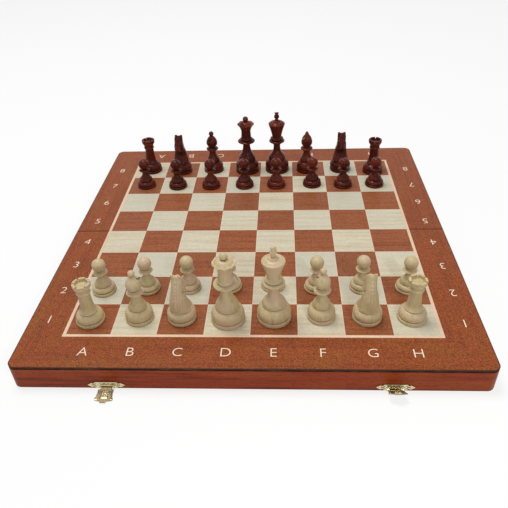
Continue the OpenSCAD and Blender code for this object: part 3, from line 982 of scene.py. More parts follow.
@dataclass
class BoardHalf:
    """One half of the box: its walls, its veneered top and what is printed on it."""

    half: Half
    finishes: Finishes
    wall: float = 12.0
    corner: float = 9.0
    arris: float = 0.6
    seam: float = 0.4
    dark_edge: float = 1.0
    line_out: float = 201.8
    hairline: float = 0.03
    corner_steps: int = 8

    def __post_init__(self) -> None:
        """Reads the board's width and the heights of its layers from the frame."""
        self.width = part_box("front_border")[1].x / MM
        self.rail_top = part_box("front_outer_rail")[1].z / MM
        self.veneer_low, self.veneer_top = (c.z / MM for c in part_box("front_border"))

    def strip(self, levels: Sequence[tuple[float, float, float]], inner: float, turn: int) -> Shape:
        """A mitred strip of the front half's frame: the outer one or one of the side ones.

        Args:
            levels: Height, inset of the outer face and inset of the inner face at each level.
            inner: Distance of the inner face from the board's middle.
            turn: 0 for the outer strip, 1 for the right one, -1 for the left one.

        Returns:
            The strip.
        """
        rings = []
        middle = self.width - self.corner
        start = 315 if turn else 270
        for height, outer_cut, inner_cut in levels:
            radius = self.corner - outer_cut
            inside = inner + inner_cut
            right = arc((middle, -middle), radius, start, start + 45, self.corner_steps)
            if turn == 0:
                left = arc((-middle, -middle), radius, 225, 270, self.corner_steps)
                ring = left + right + [(inside, -inside), (-inside, -inside)]
            else:
                end = -self.seam / 2
                ring = right + [(self.width - outer_cut, end), (inside, end), (inside, -inside)]
            rings.append([(x, y, height) for x, y in ring])
        shape = loft(rings)
        if turn < 0:
            shape = Shape().add(shape, Matrix.Diagonal((-1, 1, 1, 1)))
        return shape

    def placed(self, shape: Shape) -> Shape:
        """The shape as it stands in this half, mirrored for the back one."""
        return Shape().add(shape, Matrix.Diagonal((1, -self.half.sign, 1, 1)))

    def rounding(self, top: float, radius: float, steps: int = 4) -> list[Point2]:
        """Heights and insets of a rounded upper arris.

        Args:
            top: Height of the upper face.
            radius: The arris's radius.
            steps: Levels of the rounding.

        Returns:
            The (height, inset) pairs.
        """
        turns = [math.radians(90 * i / steps) for i in range(steps + 1)]
        return [
            (top - radius * (1 - math.sin(a)), radius * (1 - math.cos(a))) for a in turns
        ]

    def walls(self) -> None:
        """Builds the outer and the side walls, with rounded rims."""
        inner = self.width - self.wall
        levels = [
            (self.arris - height, cut, cut)
            for height, cut in self.rounding(self.arris, self.arris)[::-1]
        ]
        levels.append((self.rail_top, 0.0, 0.0))
        for turn, part in ((0, "outer"), (1, "right"), (-1, "left")):
            node = f"{self.half.value}_{part}_rail"
            self.finishes.piece(
                f"{node}_wall", self.placed(self.strip(levels, inner, turn)), WALL,
                self.half.body, [node],
            )
        self.finishes.dress(f"{self.half.value}_mid_rail", WALL)
        self.finishes.dress(f"{self.half.value}_panel", PLYWOOD)

    def border(self) -> None:
        """Builds the veneer border with its rounded outer arris."""
        levels = [(self.veneer_low, 0.0, 0.0)]
        levels += [(height, cut, 0.0) for height, cut in self.rounding(self.veneer_top, self.arris)]
        levels.append((self.veneer_top, self.arris + self.dark_edge, 0.0))
        inner = self.line_out + self.hairline
        shape = Shape()
        for turn in (0, 1, -1):
            strip = self.strip(levels, inner, turn)
            undarkened = len(strip.points) // len(levels)
            # Every ring but the top one gets a low tone, so the outer face, the arris and a band about
            # 1 mm wide inside it are darker.
            strip.tones = [0.1] * (len(strip.points) - undarkened) + [1.0] * undarkened
            shape.add(strip)
        node = f"{self.half.value}_border"
        self.finishes.piece(
            f"{node}_strips", self.placed(shape), BORDER, self.half.body, [node]
        )

    def field(self) -> None:
        """Dresses the squares and the pale line."""
        self.finishes.dress(f"{self.half.value}_dark_squares", DARK_SQUARE)
        self.finishes.dress(f"{self.half.value}_light_squares", LIGHT_SQUARE)
        self.finishes.dress(f"{self.half.value}_stringing", LINE)

    def ironwork(self) -> None:
        """Dresses the hinge leaves and the screws."""
        self.finishes.dress(f"{self.half.value}_hinge_leaves", HINGE_BRASS, 0.12)
        self.finishes.dress(f"{self.half.value}_screws", FIXING_BRASS)

    def build(self) -> None:
        """Builds and dresses the half."""
        self.walls()
        self.border()
        self.field()
        self.ironwork()
        Lettering(self.half, self.finishes, self.veneer_top).build()


@dataclass
class Lettering:
    """The letters and numbers on one half's border."""

    half: Half
    finishes: Finishes
    face: float
    square: float = 50.0
    height: float = 11.3
    paint: float = 0.05
    thinner: float = -0.013
    near_y: float = -223.3
    near_shift: tuple[float, ...] = (2.5, 2.3, 1.2, 1.0, 0.0, 0.0, 0.0, -4.8)
    far_y: float = 225.0
    far_shift: float = 6.5
    left_x: float = -224.0
    right_x: float = 227.0
    right_shift: float = -5.0

    def glyph(self, text: str) -> Shape:
        """One character as a thin solid, centred on the origin.

        Args:
            text: The character.

        Returns:
            Its shape.
        """
        curve = bpy.data.curves.new("glyph", "FONT")
        curve.body = text
        curve.extrude = 0.01
        curve.offset = self.thinner
        curve.resolution_u = 6
        made = new_object("glyph", curve)
        mesh = finished_mesh(made)
        points = [v.co.copy() for v in mesh.vertices]
        low = Vector([min(p[k] for p in points) for k in range(3)])
        high = Vector([max(p[k] for p in points) for k in range(3)])
        middle, scale = (low + high) / 2, self.height / (high.y - low.y)
        shape = Shape(
            [
                ((p.x - middle.x) * scale, (p.y - middle.y) * scale, self.paint * (p.z > 0))
                for p in points
            ],
            [tuple(f.vertices) for f in mesh.polygons],
        )
        bpy.data.objects.remove(made)
        bpy.data.meshes.remove(mesh)
        bpy.data.curves.remove(curve)
        return shape

    def places(self) -> list[tuple[str, float, float, float]]:
        """Each character of this half, with its place and its turn in degrees."""
        found = []
        for file in range(FIELD_FILES):
            x = (file - 3.5) * self.square
            letter = "ABCDEFGH"[file]
            if self.half is Half.FRONT:
                found.append((letter, x + self.near_shift[file], self.near_y, 0))
            else:
                found.append((letter, x + self.far_shift, self.far_y, 180))
        ranks = range(4) if self.half is Half.FRONT else range(4, 8)
        for rank in ranks:
            y = (rank - 3.5) * self.square
            found.append((str(rank + 1), self.left_x, y, 0))
            found.append((str(rank + 1), self.right_x, y + self.right_shift, 180))
        return found

    def build(self) -> None:
        """Paints the half's characters as one piece."""
        shape = Shape()
        for text, x, y, turn in self.places():
            at = Matrix.Translation((x, y, self.face))
            shape.add(self.glyph(text), at @ Matrix.Rotation(math.radians(turn), 4, "Z"))
        self.finishes.piece(
            f"{self.half.value}_lettering", shape, LETTER_INK, self.half.body
        )


@dataclass
class Clasp:
    """One of the two clasps: the plate on the front wall and its hasp."""

    name: str
    tilt: float
    finishes: Finishes
    sheet: float = 0.66
    barrel: float = 1.3
    pin_off: float = 1.5
    pin_up: float = 1.5
    plate_half: float = 19.5
    ear_half: float = 1.3
    ear_x: float = 6.9
    knuckle_half: float = 5.3
    hasp_length: float = 18.6
    lip: float = 1.3
    boss_at: float = 12.4
    boss_top: Point2 = (2.9, 1.0)
    boss_rise: float = 0.86
    rosette_at: float = 6.7
    feet_at: Point2 = (7.6, 14.0)

    def __post_init__(self) -> None:
        """Reads the clasp's middle and the wall's face from the frame."""
        low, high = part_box(f"hasp_{self.name}")
        self.middle = (low.x + high.x) / 2 / MM
        self.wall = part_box("front_outer_rail")[0].y / MM

    def plate_edges(self, x: float) -> Point2:
        """Lower and upper edge of the plate at a distance from its middle."""
        off = abs(x)
        low = between(
            [(5.55, 3.8), (5.65, 0.6), (9.8, 0.6), (11.6, 2.2), (12.6, 3.7), (15, 2.6),
             (self.plate_half, 5.5)], off,
        )
        high = between(
            [(11.2, 9.7), (11.8, 9.0), (12.8, 7.6), (15, 8.6), (self.plate_half, 5.7)], off,
        )
        return low, high

    def plate(self) -> Shape:
        """The plate with its beaded edge, scrolls and pointed leaves."""

        def surface(x: float, share: float) -> tuple[Vector, Vector, float]:
            """Place, normal and relief of the plate's middle layer."""
            low, high = self.plate_edges(x)
            z = low + (high - low) * share
            edge = min(share, 1 - share) * (high - low)
            bead = 0.34 * math.exp(-((edge - 0.7) / 0.4) ** 2)
            field = smoothstep(1.2, 1.9, edge) * smoothstep(11.6, 10.6, abs(x))
            scroll = 0.12 * (1 + math.cos(x * 1.45) * math.cos(z * 1.6)) * field
            return Vector((x, -self.sheet / 2, z)), Vector((0, -1, 0)), bead + scroll

        count = 88
        columns = sorted(
            [self.plate_half * (2 * i / count - 1) for i in range(count + 1)]
            + [s * v for s in (-1, 1) for v in (5.55, 5.65)]
        )
        rows = [i / 18 for i in range(19)]
        return relief_sheet(columns, rows, surface, self.sheet)

    def tube(self, half: float) -> Shape:
        """A rolled knuckle along X, centred on the pin."""
        inside = self.barrel - self.sheet + 0.02
        soft = 0.15
        profile = [
            (inside, -half + soft), (inside + soft, -half), (self.barrel - soft, -half),
            (self.barrel, -half + soft), (self.barrel, half - soft),
            (self.barrel - soft, half), (inside + soft, half), (inside, half - soft),
            (inside, -half + soft),
        ]
        made = lathe(profile, even_angles(28))
        # The whole knuckle keeps full tone, so its brass is painted bright as a highlight.
        made.tones = [1.0] * len(made.points)
        return Shape().add(made, Matrix.Rotation(math.radians(90), 4, "Y"))

    def ears(self) -> Shape:
        """The plate's two rolled ears, each with the strip that joins it to the plate."""
        shape = Shape()
        top = self.pin_up + self.barrel
        levels = [
            ((-self.pin_off, height), (-self.sheet, height)) for height in (top - self.sheet, top)
        ]
        for side in (-1, 1):
            x = side * self.ear_x
            at = Matrix.Translation((x, -self.pin_off, self.pin_up))
            shape.add(self.tube(self.ear_half), at)
            shape.add(loft([
                [(x - self.ear_half, y, z) for y, z in ends]
                + [(x + self.ear_half, y, z) for y, z in ends[::-1]]
                for ends in levels
            ]))
        return shape

    def hasp_width(self, y: float) -> float:
        """Half the hasp's width at a distance from its pin."""
        tab = self.hasp_length - 2.6
        return between(
            [(1.9, self.knuckle_half), (2.3, 7.6), (3.0, 8.2), (6.6, 7.9), (11.0, 8.4),
             (tab - 2.6, 9.5), (tab - 0.9, 9.1), (tab - 0.3, 7.8), (tab, 4.4), (tab + 0.5, 3.4)],
            y,
        )

    def hasp_line(self) -> list[tuple[Vector, Vector, float]]:
        """The hasp's middle line in (y, z), from its rolled end to its lip.

        Returns:
            Point, normal and half width at each step.
        """
        radius = self.barrel - self.sheet / 2
        line: list[tuple[Vector, Vector, float]] = []
        for i in range(17):
            a = math.radians(-205 + (90 + 205) * i / 16)
            out = Vector((0, math.cos(a), math.sin(a)))
            line.append((out * radius, out, self.knuckle_half))
        straight = self.hasp_length - self.lip
        steps = 60
        for i in range(1, steps + 1):
            y = straight * i / steps
            line.append((Vector((0, -y, radius)), Vector((0, 0, 1)), self.hasp_width(y)))
        curl = self.lip - self.sheet / 2
        middle = Vector((0, -straight, radius + curl))
        for i in range(1, 11):
            a = math.radians(-90 - 114 * i / 10)
            out = Vector((0, math.cos(a), math.sin(a)))
            line.append((middle + out * curl, -out, 3.4 - 0.5 * i / 10))
        return line

    def hasp(self) -> Shape:
        """The hasp with its rosette, its raised rim and feet, and its hollow boss."""
        line = self.hasp_line()
        columns = [i / 24 for i in range(-24, 25)]
        flat = [k for k, (p, n, _) in enumerate(line) if n.z > 0.999 and p.y < -2.2]

        def boss(u: float, v: float) -> float:
            """Share of the boss's height at a place, from 0 beside it to 1 on its top."""
            point, _, width = line[round(v)]
            if round(v) not in flat:
                return 0.0
            half_x, half_y = self.boss_top
            off = max(abs(u * width) - half_x, abs(point.y + self.boss_at) - half_y)
            return 1 - smoothstep(0.0, 1.2, off)

        def surface(u: float, v: float) -> tuple[Vector, Vector, float]:
            """Place, normal and relief of the hasp's middle layer."""
            point, normal, width = line[round(v)]
            x = u * width
            relief = self.boss_rise * boss(u, v)
            if round(v) in flat:
                y = -point.y
                edge = min(width - abs(x), y - 2.2)
                rim = 0.26 * math.exp(-((edge - 0.7) / 0.4) ** 2)
                off = math.hypot(x, y - self.rosette_at)
                middle = 0.5 * math.exp(-((off / 1.1) ** 2))
                around = math.atan2(y - self.rosette_at, x)
                petal = 0.5 + 0.5 * math.cos(8 * around)
                petals = 0.42 * petal * math.exp(-((off - 2.5) / 0.8) ** 2)
                feet = 0.4 * math.exp(-(math.dist((abs(x), y), self.feet_at) ** 2))
                relief += rim + middle + petals + feet
            return Vector((x, point.y, point.z)), normal, relief

        rows = [float(k) for k in range(len(line))]
        # The rolled knuckle and the curled lip keep a bright tone: a painted highlight on the brass.
        shape = relief_sheet(
            columns, rows, surface, self.sheet,
            dent=lambda u, v: (self.boss_rise + 0.1) * boss(u, v),
            wear_and_highlight=lambda u, v: 0.0 if round(v) in flat else 0.95,
        )
        shape.add(self.tube(self.knuckle_half))
        return shape

    def build(self) -> None:
        """Builds the plate and the hasp."""
        at = Matrix.Translation((self.middle, self.wall, 0))
        plate = Shape().add(self.plate(), at)
        plate.add(self.ears(), at)
        self.finishes.piece(
            f"clasp_plate_{self.name}", plate, CLASP_BRASS, "front_half", ["clasp_plates"]
        )
        pin = Matrix.Translation((self.middle, self.wall - self.pin_off, self.pin_up))
        turn = Matrix.Rotation(math.radians(self.tilt), 4, "X")
        self.finishes.piece(
            f"hasp_{self.name}_pressed", Shape().add(self.hasp(), pin @ turn), SHADED_HASP_BRASS,
            f"hasp_{self.name}", [f"hasp_{self.name}"],
        )


@dataclass(frozen=True)
class Foot:
    """The turned foot that all men share: a ring, a swelling bell, and a ledge for the body."""

    radius: float
    ring: float
    ledge: float
    ledge_at: float
    bow: float

    def stations(self) -> list[Station]:
        """Radius, height and bow of the foot's outline, from its middle outwards."""
        r, ledge, z = self.radius, self.ledge, self.ledge_at
        return [
            (0, 0, 0), (r - 0.8, 0, 0), (r, 0.8, 0), (r, self.ring - 0.6, 0),
            (r - 0.6, self.ring, 0), (r - 2.0, self.ring + 0.4, 0),
            (r - 0.7, self.ring + 1.3, self.bow), (ledge + 0.3, z, 0), (ledge - 0.9, z + 0.4, 0),
            (ledge - 0.9, z + 0.7, 0), (ledge, z + 1, 0), (ledge, z + 1.8, 0),
        ]


def bowed(stations: Sequence[Station], steps: int = 10) -> list[Point2]:
    """An outline through stations, whose stretches bow outward by the given amount.

    Args:
        stations: Radius, height, and bow of the stretch that follows.
        steps: Points along a bowed stretch.

    Returns:
        The outline.
    """
    found: list[Point2] = []
    for (r, z, bow), after in zip(stations, [*stations[1:], stations[-1]]):
        if bow == 0:
            found.append((r, z))
            continue
        along = Vector((after[0] - r, after[1] - z))
        out = Vector((along.y, -along.x)).normalized()
        for i in range(steps):
            t = i / steps
            point = Vector((r, z)) + along * t + out * (bow * 4 * t * (1 - t))
            found.append((point.x, point.y))
    return found


def ball(height: float, radius: float, start: float, steps: int = 16) -> list[Point2]:
    """Outline of a ball from an angle up to its top.

    Args:
        height: Height of its middle.
        radius: Its radius.
        start: The angle it starts at, in degrees over its equator.
        steps: Stretches between its points.

    Returns:
        The outline.
    """
    return arc((0, height), radius, start, 90, steps)[:-1] + [(0.0, height + radius)]


def softened(outline: Sequence[Point2], cut: float = 0.28) -> list[Point2]:
    """Rounds an outline's corners.

    Args:
        outline: Its points.
        cut: How far from a corner the rounding starts.

    Returns:
        The rounded outline.
    """
    found = [outline[0]]
    for a, b, c in zip(outline, outline[1:], outline[2:]):
        before, corner, after = Vector(a), Vector(b), Vector(c)
        into, away = corner - before, after - corner
        if into.length < 1e-6 or away.length < 1e-6 or into.angle(away) < math.radians(14):
            found.append(b)
            continue
        start = corner - into.normalized() * min(cut, into.length * 0.45)
        end = corner + away.normalized() * min(cut, away.length * 0.45)
        for i in range(4):
            t = i / 3
            point = start * (1 - t) ** 2 + corner * (2 * t * (1 - t)) + end * t**2
            found.append((point.x, point.y))
    found.append(outline[-1])
    return found


@dataclass
class Horse:
    """The carved head and neck of a knight, facing +Y over its foot."""

    voxel: float = 0.36
    around: int = 56
    back: tuple[Point2, ...] = (
        (16.2, -11.8), (19, -12.5), (25, -13.1), (31, -12.5), (36, -11.2), (41, -10.0),
        (46, -8.4), (51, -6.0), (54.6, -4.2), (57.4, -3.4),
    )
    face: tuple[Point2, ...] = (
        (16.2, 11.8), (18.4, 11.7), (20.6, 10.4), (24.6, 7.4), (28, 5.2), (32, 4.0),
        (34.8, 4.9), (36.4, 6.8), (37.4, 10.0), (38.4, 12.6), (40.6, 13.6), (44, 12.7),
        (48, 9.8), (51, 7.4), (54.4, 4.8), (57.4, 2.2),
    )
    width: tuple[Point2, ...] = (
        (16.2, 11.9), (20, 11.1), (29, 9.4), (39, 7.6), (47, 6.3), (57.4, 6.4),
    )

    def neck(self) -> Shape:
        """The neck and head as a stack of rounded sections."""
        rings = []
        low, high = self.back[0][0], self.back[-1][0]
        for k in range(83):
            z = low + (high - low) * k / 82
            start, end = between(self.back, z), between(self.face, z)
            middle, reach, width = (start + end) / 2, (end - start) / 2, between(self.width, z)
            ring = []
            for i in range(self.around):
                a = TAU * i / self.around
                c, s = math.cos(a), math.sin(a)
                x = width * math.copysign(abs(c) ** 0.72, c)
                y = middle + reach * math.copysign(abs(s) ** 0.8, s)
                muzzle = smoothstep(2, 12, y) * smoothstep(35, 39, z)
                nape = smoothstep(-4, -12, y) * smoothstep(16, 26, z)
                ring.append((x * (1 - 0.4 * muzzle) * (1 - 0.25 * nape), y, z))
            rings.append(ring)
        return loft(rings)

    def blob(self, centre: Point3, radii: Point3, tilt: float = 0.0) -> Shape:
        """A ball stretched along its axes.

        Args:
            centre: Its middle.
            radii: Its radius along X, Y and Z.
            tilt: Its turn about X, in degrees.

        Returns:
            The shape.
        """
        made = lathe([(0.0, -1.0)] + arc((0, 0), 1.0, -80, 80, 12) + [(0.0, 1.0)], even_angles(18))
        place = (
            Matrix.Translation(centre) @ Matrix.Rotation(math.radians(tilt), 4, "X")
            @ Matrix.Diagonal((*radii, 1))
        )
        return Shape().add(made, place)

    def parts(self) -> Shape:
        """Everything that the carving starts from, as overlapping solids."""
        shape = self.neck()
        for side in (-1, 1):
            shape.add(self.blob((side * 4.3, 2.6, 43.6), (2.9, 5.4, 5.8), 20))
            shape.add(self.blob((side * 4.4, 6.0, 49.4), (1.5, 2.2, 1.2), -50))
            shape.add(self.blob((side * 2.9, 12.0, 41.6), (1.5, 1.8, 1.6)))
            shape.add(loft([
                [
                    (side * (3.5 + 0.1 * k) + (2.8 - 0.15 * k) * math.cos(TAU * i / 16),
                     -0.8 - 0.22 * k + (2.7 - 0.3 * k) * math.sin(TAU * i / 16), 54 + 1.16 * k)
                    for i in range(16)
                ]
                for k in range(7)
            ]))
        for k in range(10):
            z = 21 + 3.8 * k
            y = between(self.back, z)
            shape.add(self.blob((0, y + 0.8, z), (2.0, 1.6, 3.2), 14 - 3 * k))
        shape.add(self.blob((0, -1.4, 57.2), (3.8, 2.6, 3.2)))
        shape.add(self.blob((0, 3.0, 55.4), (2.2, 2.4, 2.8), 40))
        return shape

    def groove(self, point: Vector) -> float:
        """How deep the carving goes at a point of the surface.

        Args:
            point: The point.

        Returns:
            The depth, less than 0 where the surface swells.
        """
        x, y, z = abs(point.x), point.y, point.z
        depth = 0.0
        from_back = y - between(self.back, z)
        mane = smoothstep(17, 21, z) * smoothstep(56, 53, z)
        for line in (2.2, 4.6, 6.9):
            flute = math.exp(-(((x - line) / 0.42) ** 2))
            depth += 0.34 * flute * smoothstep(7.0, 5.5, from_back) * mane
        lock = abs(math.sin((z + 1.1 * from_back) * 0.8))
        locks = (1 - lock) ** 3 * smoothstep(5.0, 6.0, from_back) * smoothstep(9.0, 7.8, from_back)
        depth += 0.55 * locks * mane * smoothstep(26, 30, z)
        cheek = math.hypot(y - 2.4, z - 43.0)
        depth += 0.5 * math.exp(-((cheek - 5.9) / 0.55) ** 2) * smoothstep(45, 42, z)
        mouth = abs(z - (40.0 - 0.06 * (y - 9)))
        depth += 0.8 * math.exp(-((mouth / 0.45) ** 2)) * smoothstep(7.2, 8.6, y)
        nostril = math.hypot(y - 12.3, z - 42.3)
        depth += 0.9 * math.exp(-((nostril / 0.75) ** 2)) * smoothstep(1.2, 2.0, x)
        eye = math.hypot(y - 5.6, z - 48.2)
        depth += 0.5 * math.exp(-((eye - 1.55) / 0.35) ** 2) - 0.35 * math.exp(-((eye / 0.9) ** 2))
        for line in (-4.0, 0.5, 4.5):
            away = abs(y - line - 0.12 * (30 - z))
            fold = smoothstep(15, 18, z) * smoothstep(38, 32, z)
            depth += 0.4 * math.exp(-((away / 0.5) ** 2)) * fold
        ear = math.hypot((x - 3.5) / 1.2, (z - 57.6) / 2.4)
        depth += 0.9 * math.exp(-(ear**2)) * smoothstep(-0.6, 0.9, y)
        depth += 0.5 * math.exp(-((x / 0.9) ** 2)) * smoothstep(8.0, 6.0, abs(y - 7)) * mane
        return depth

    def shape(self) -> Shape:
        """Joins the parts, carves them and gives the finished head.

        Returns:
            The carved shape.
        """
        mesh = self.parts().mesh("horse", 1.0)
        made = new_object("horse", mesh)
        joined = made.modifiers.new("joined", "REMESH")
        joined.mode = "VOXEL"
        joined.voxel_size = self.voxel * 1
        joined.use_smooth_shade = True
        soft = made.modifiers.new("soft", "SMOOTH")
        soft.factor, soft.iterations = 0.5, 5
        whole = finished_mesh(made)
        carved = Shape(faces=[tuple(f.vertices) for f in whole.polygons])
        for vertex in whole.vertices:
            depth = self.groove(vertex.co)
            moved = vertex.co - vertex.normal * depth
            carved.points.append((moved.x, moved.y, max(moved.z, self.back[0][0])))
            # Carved hollows get a low tone, which the turned finish paints as shade.
            carved.tones.append(1 - smoothstep(0.1, 0.8, depth))
        bpy.data.objects.remove(made)
        bpy.data.meshes.remove(mesh)
        bpy.data.meshes.remove(whole)
        return carved


@dataclass
class Men:
    """All thirty-two chessmen, each turned or carved and set on its square."""

    finishes: Finishes
    steps: int = 80
    meshes: dict[str, bpy.types.Mesh] = field(default_factory=dict)

    def pawn(self) -> Shape:
        """A pawn: foot, waist, collar and ball."""
        outline = bowed([
            *Foot(13.9, 3.6, 9.8, 9.4, 0.9).stations(), (9.7, 11.4, 0.4), (7.6, 15.6, -0.4),
            (4.2, 20.4, 0), (4.2, 25, 0), (5, 25.6, 0), (7.9, 26.6, 0.3), (7.9, 27.6, 0.3),
            (5.2, 28.9, 0),
        ])
        return lathe(softened(outline + ball(36.9, 7.8, -62)), even_angles(self.steps))

    def rook(self) -> Shape:
        """A rook, whose crown is cut by six slots."""
        crown, top, slot, floor = 48.2, 53.0, 5.0, 50.6
        outline = softened(bowed([
            *Foot(15.7, 4.2, 10.1, 13.8, 1.5).stations(), (10, 15.8, -0.5), (7.4, 22.5, -0.2),
            (6.4, 39, 0), (7.5, 39.8, 0.3), (7.5, 41, 0), (6.9, 41.6, -0.6), (9.5, crown, 0),
            (9.8, floor - 0.1, 0), (9.8, floor + 0.1, 0), (9.8, top - 0.4, 0), (9.4, top, 0),
            (6.8, top, 0), (6.6, floor + 0.1, 0), (6.6, floor - 0.1, 0), (6.4, crown + 1, 0),
            (0, crown + 0.2, 0),
        ]))
        edges = [
            60 * k + s * (slot + d) for k in range(6) for s in (-1, 1) for d in (-0.35, 0.35)
        ]
        angles = sorted({a % 360 for a in edges} | set(even_angles(self.steps)))
        shape = lathe(outline, angles)
        points = []
        for x, y, z in shape.points:
            off = abs((math.degrees(math.atan2(y, x)) + 30) % 60 - 30)
            cut = off < slot and z > floor and math.hypot(x, y) > 6
            points.append((x, y, floor if cut else z))
        shape.points = points
        return shape

    def bishop(self, plain_tip: bool = False) -> Shape:
        """A bishop with a slit mitre.

        Args:
            plain_tip: True for the one whose mitre ends in a point and not in a ball.

        Returns:
            The shape.
        """
        tip = [(3.2, 59.6, 0.6), (0, 65, 0)] if plain_tip else [(2.3, 58.6, 0)]
        outline = bowed([
            *Foot(15.5, 4.2, 10.1, 15.6, 1.9).stations(), (10, 17.6, 0.3), (8.4, 22.4, -0.4),
            (5, 30.6, 0), (4.6, 33, 0), (5.8, 33.7, 0.4), (5.8, 35.4, 0), (9, 36.6, 0.3),
            (9, 37.8, 0.3), (5.6, 39.6, 0), (5.2, 41, 0.9), (8.5, 47.8, 1.2), *tip,
        ])
        if not plain_tip:
            outline += ball(61.8, 3.7, -52)
        body = lathe(softened(outline), even_angles(self.steps))
        slit = Matrix.Translation((4.6, 0, 53.5)) @ Matrix.Rotation(math.radians(38), 4, "Y")
        blade = ((-4, -10), (10, -10), (10, 10), (-4, 10))
        saw = loft([[(x, y, z) for x, y in blade] for z in (-0.5, 0.5)])
        # The slit's faces take the lowest tone: painted shade inside the slit.
        saw.tones = [0.0] * len(saw.points)
        return self.cut(body, Shape().add(saw, slit))

    def cut(self, body: Shape, cutter: Shape) -> Shape:
        """Takes one solid out of another.

        Args:
            body: What is cut.
            cutter: What is taken out.

        Returns:
            The cut shape.
        """
        made = [
            new_object(name, shape.mesh(name, 1.0))
            for name, shape in (("body", body), ("cutter", cutter))
        ]
        knife = made[0].modifiers.new("cut", "BOOLEAN")
        knife.operation, knife.solver, knife.object = "DIFFERENCE", "EXACT", made[1]
        mesh = finished_mesh(made[0])
        result = Shape(
            [tuple(v.co) for v in mesh.vertices], [tuple(f.vertices) for f in mesh.polygons],
            [layer.value for layer in mesh.attributes["tone"].data],
        )
        for piece in made:
            old = piece.data
            bpy.data.objects.remove(piece)
            bpy.data.meshes.remove(old)
        bpy.data.meshes.remove(mesh)
        return result

    def queen(self) -> Shape:
        """A queen, whose flared crown has nine scallops."""
        rim, scallops, depth = 78.6, 9, 1.5
        outline = bowed([
            *Foot(18.4, 4.8, 13.1, 17.6, 2.1).stations(), (13, 19.6, 0.4), (10.6, 27.4, -0.4),
            (6.8, 35, -0.2), (5.5, 42, 0), (5.4, 45, 0), (6.7, 45.8, 0.4), (6.7, 47.4, 0),
            (12.7, 49.4, 0.4), (12.7, 51, 0.3), (8.4, 52.6, 0), (8.8, 53.6, 0.4),
            (8.8, 55.2, 0), (7.6, 56.2, 0), (7.1, 66.5, -0.8), (12.5, rim - 1, 0),
            (12.3, rim, 0), (10, rim - 0.3, 0), (8.6, rim + 1, 0.8), (3, rim + 3, 0),
            (2.3, rim + 3.6, 0),
        ])
        shape = lathe(softened(outline + ball(rim + 6.6, 4.2, -55)), even_angles(144))
        points = []
        for x, y, z in shape.points:
            radius = math.hypot(x, y)
            if radius > 9.2 and z > rim - 4:
                wave = abs(math.cos(math.atan2(y, x) * scallops / 2))
                z -= depth * (1 - wave) * smoothstep(rim - 3.5, rim - 0.5, z)
            points.append((x, y, z))
        shape.points = points
        return shape

    def king(self) -> Shape:
        """A king: the tallest man, with a cross on its dome."""
        dome, height = 80.8, 94.5
        outline = bowed([
            *Foot(18.6, 5, 13, 19.2, 2.1).stations(), (12.9, 21.2, 0.5), (11, 26.6, -0.4),
            (6.3, 33.4, -0.3), (5.1, 40, 0), (5.1, 44, 0), (6.8, 45, 0.4), (6.8, 46.8, 0),
            (11.5, 48.6, 0.4), (11.5, 50.2, 0.3), (8.6, 51.6, 0), (9.4, 52.8, 0.4),
            (9.4, 54.6, 0), (6.8, 56, -0.5), (12.3, 75.8, 0.2), (12.1, 77.8, 0),
            (11, 78.3, 0.8), (5.3, dome - 0.4, 0), (5.3, dome + 0.6, 0), (4.6, dome + 1.2, 0),
            (2, dome + 1.6, 0), (0, dome + 1.6, 0),
        ])
        right = [
            (2.6, dome + 1), (2.1, 85.6), (3.7, 86.4), (3.7, 90), (2.2, 90.4), (3.1, height)
        ]
        ring = right + [(-x, z) for x, z in right[::-1]]
        cross = loft([[(x, y, z) for x, z in ring] for y in (1.6, -1.6)]).bevelled(0.35)
        cross.tones = [1.0] * len(cross.points)
        return lathe(softened(outline), even_angles(self.steps)).add(cross)

    def knight(self) -> Shape:
        """A knight: a carved head and neck over a turned foot."""
        outline = bowed([
            *Foot(15.8, 4.2, 12.6, 15, 1.6).stations(), (0, 16.8, 0)
        ])
        return lathe(softened(outline), even_angles(self.steps)).add(Horse().shape())

    def mesh(self, side: Side, kind: Kind, plain_tip: bool) -> bpy.types.Mesh:
        """The mesh of a kind of man, made once for each side.

        Args:
            side: Whose it is.
            kind: Its kind.
            plain_tip: True for the bishop with the pointed mitre.

        Returns:
            The mesh.
        """
        name = f"{side.value}_{kind.value}{'_pointed' if plain_tip else ''}"
        other = name.replace(side.value, "black" if side is Side.WHITE else "white")
        if name not in self.meshes and other in self.meshes:
            self.meshes[name] = self.meshes[other].copy()
            self.meshes[name].materials.clear()
        if name not in self.meshes:
            shape = self.bishop(plain_tip) if kind is Kind.BISHOP else getattr(self, kind.value)()
            self.meshes[name] = shape.mesh(name)
        return self.meshes[name]

    def turn(self, side: Side, kind: Kind, file: str) -> float:
        """How far a man is turned on its square, in degrees.

        Args:
            side: Whose it is.
            kind: Its kind.
            file: Letter of its file.

        Returns:
            The turn. A knight at 0 faces Black.
        """
        turns = {
            (Side.WHITE, Kind.ROOK): {"a": 10, "h": 25},
            (Side.WHITE, Kind.BISHOP): {"b": 60, "f": 130},
            (Side.WHITE, Kind.KNIGHT): {"c": -12, "g": 8},
            (Side.WHITE, Kind.QUEEN): {"d": 20},
            (Side.WHITE, Kind.KING): {"e": 24},
            (Side.BLACK, Kind.ROOK): {"a": 5, "h": 20},
            (Side.BLACK, Kind.KNIGHT): {"b": 176, "g": 182},
            (Side.BLACK, Kind.BISHOP): {"c": 200, "f": 160},
            (Side.BLACK, Kind.QUEEN): {"d": 12},
            (Side.BLACK, Kind.KING): {"e": 6},
        }
        return turns.get((side, kind), {}).get(file, 0)

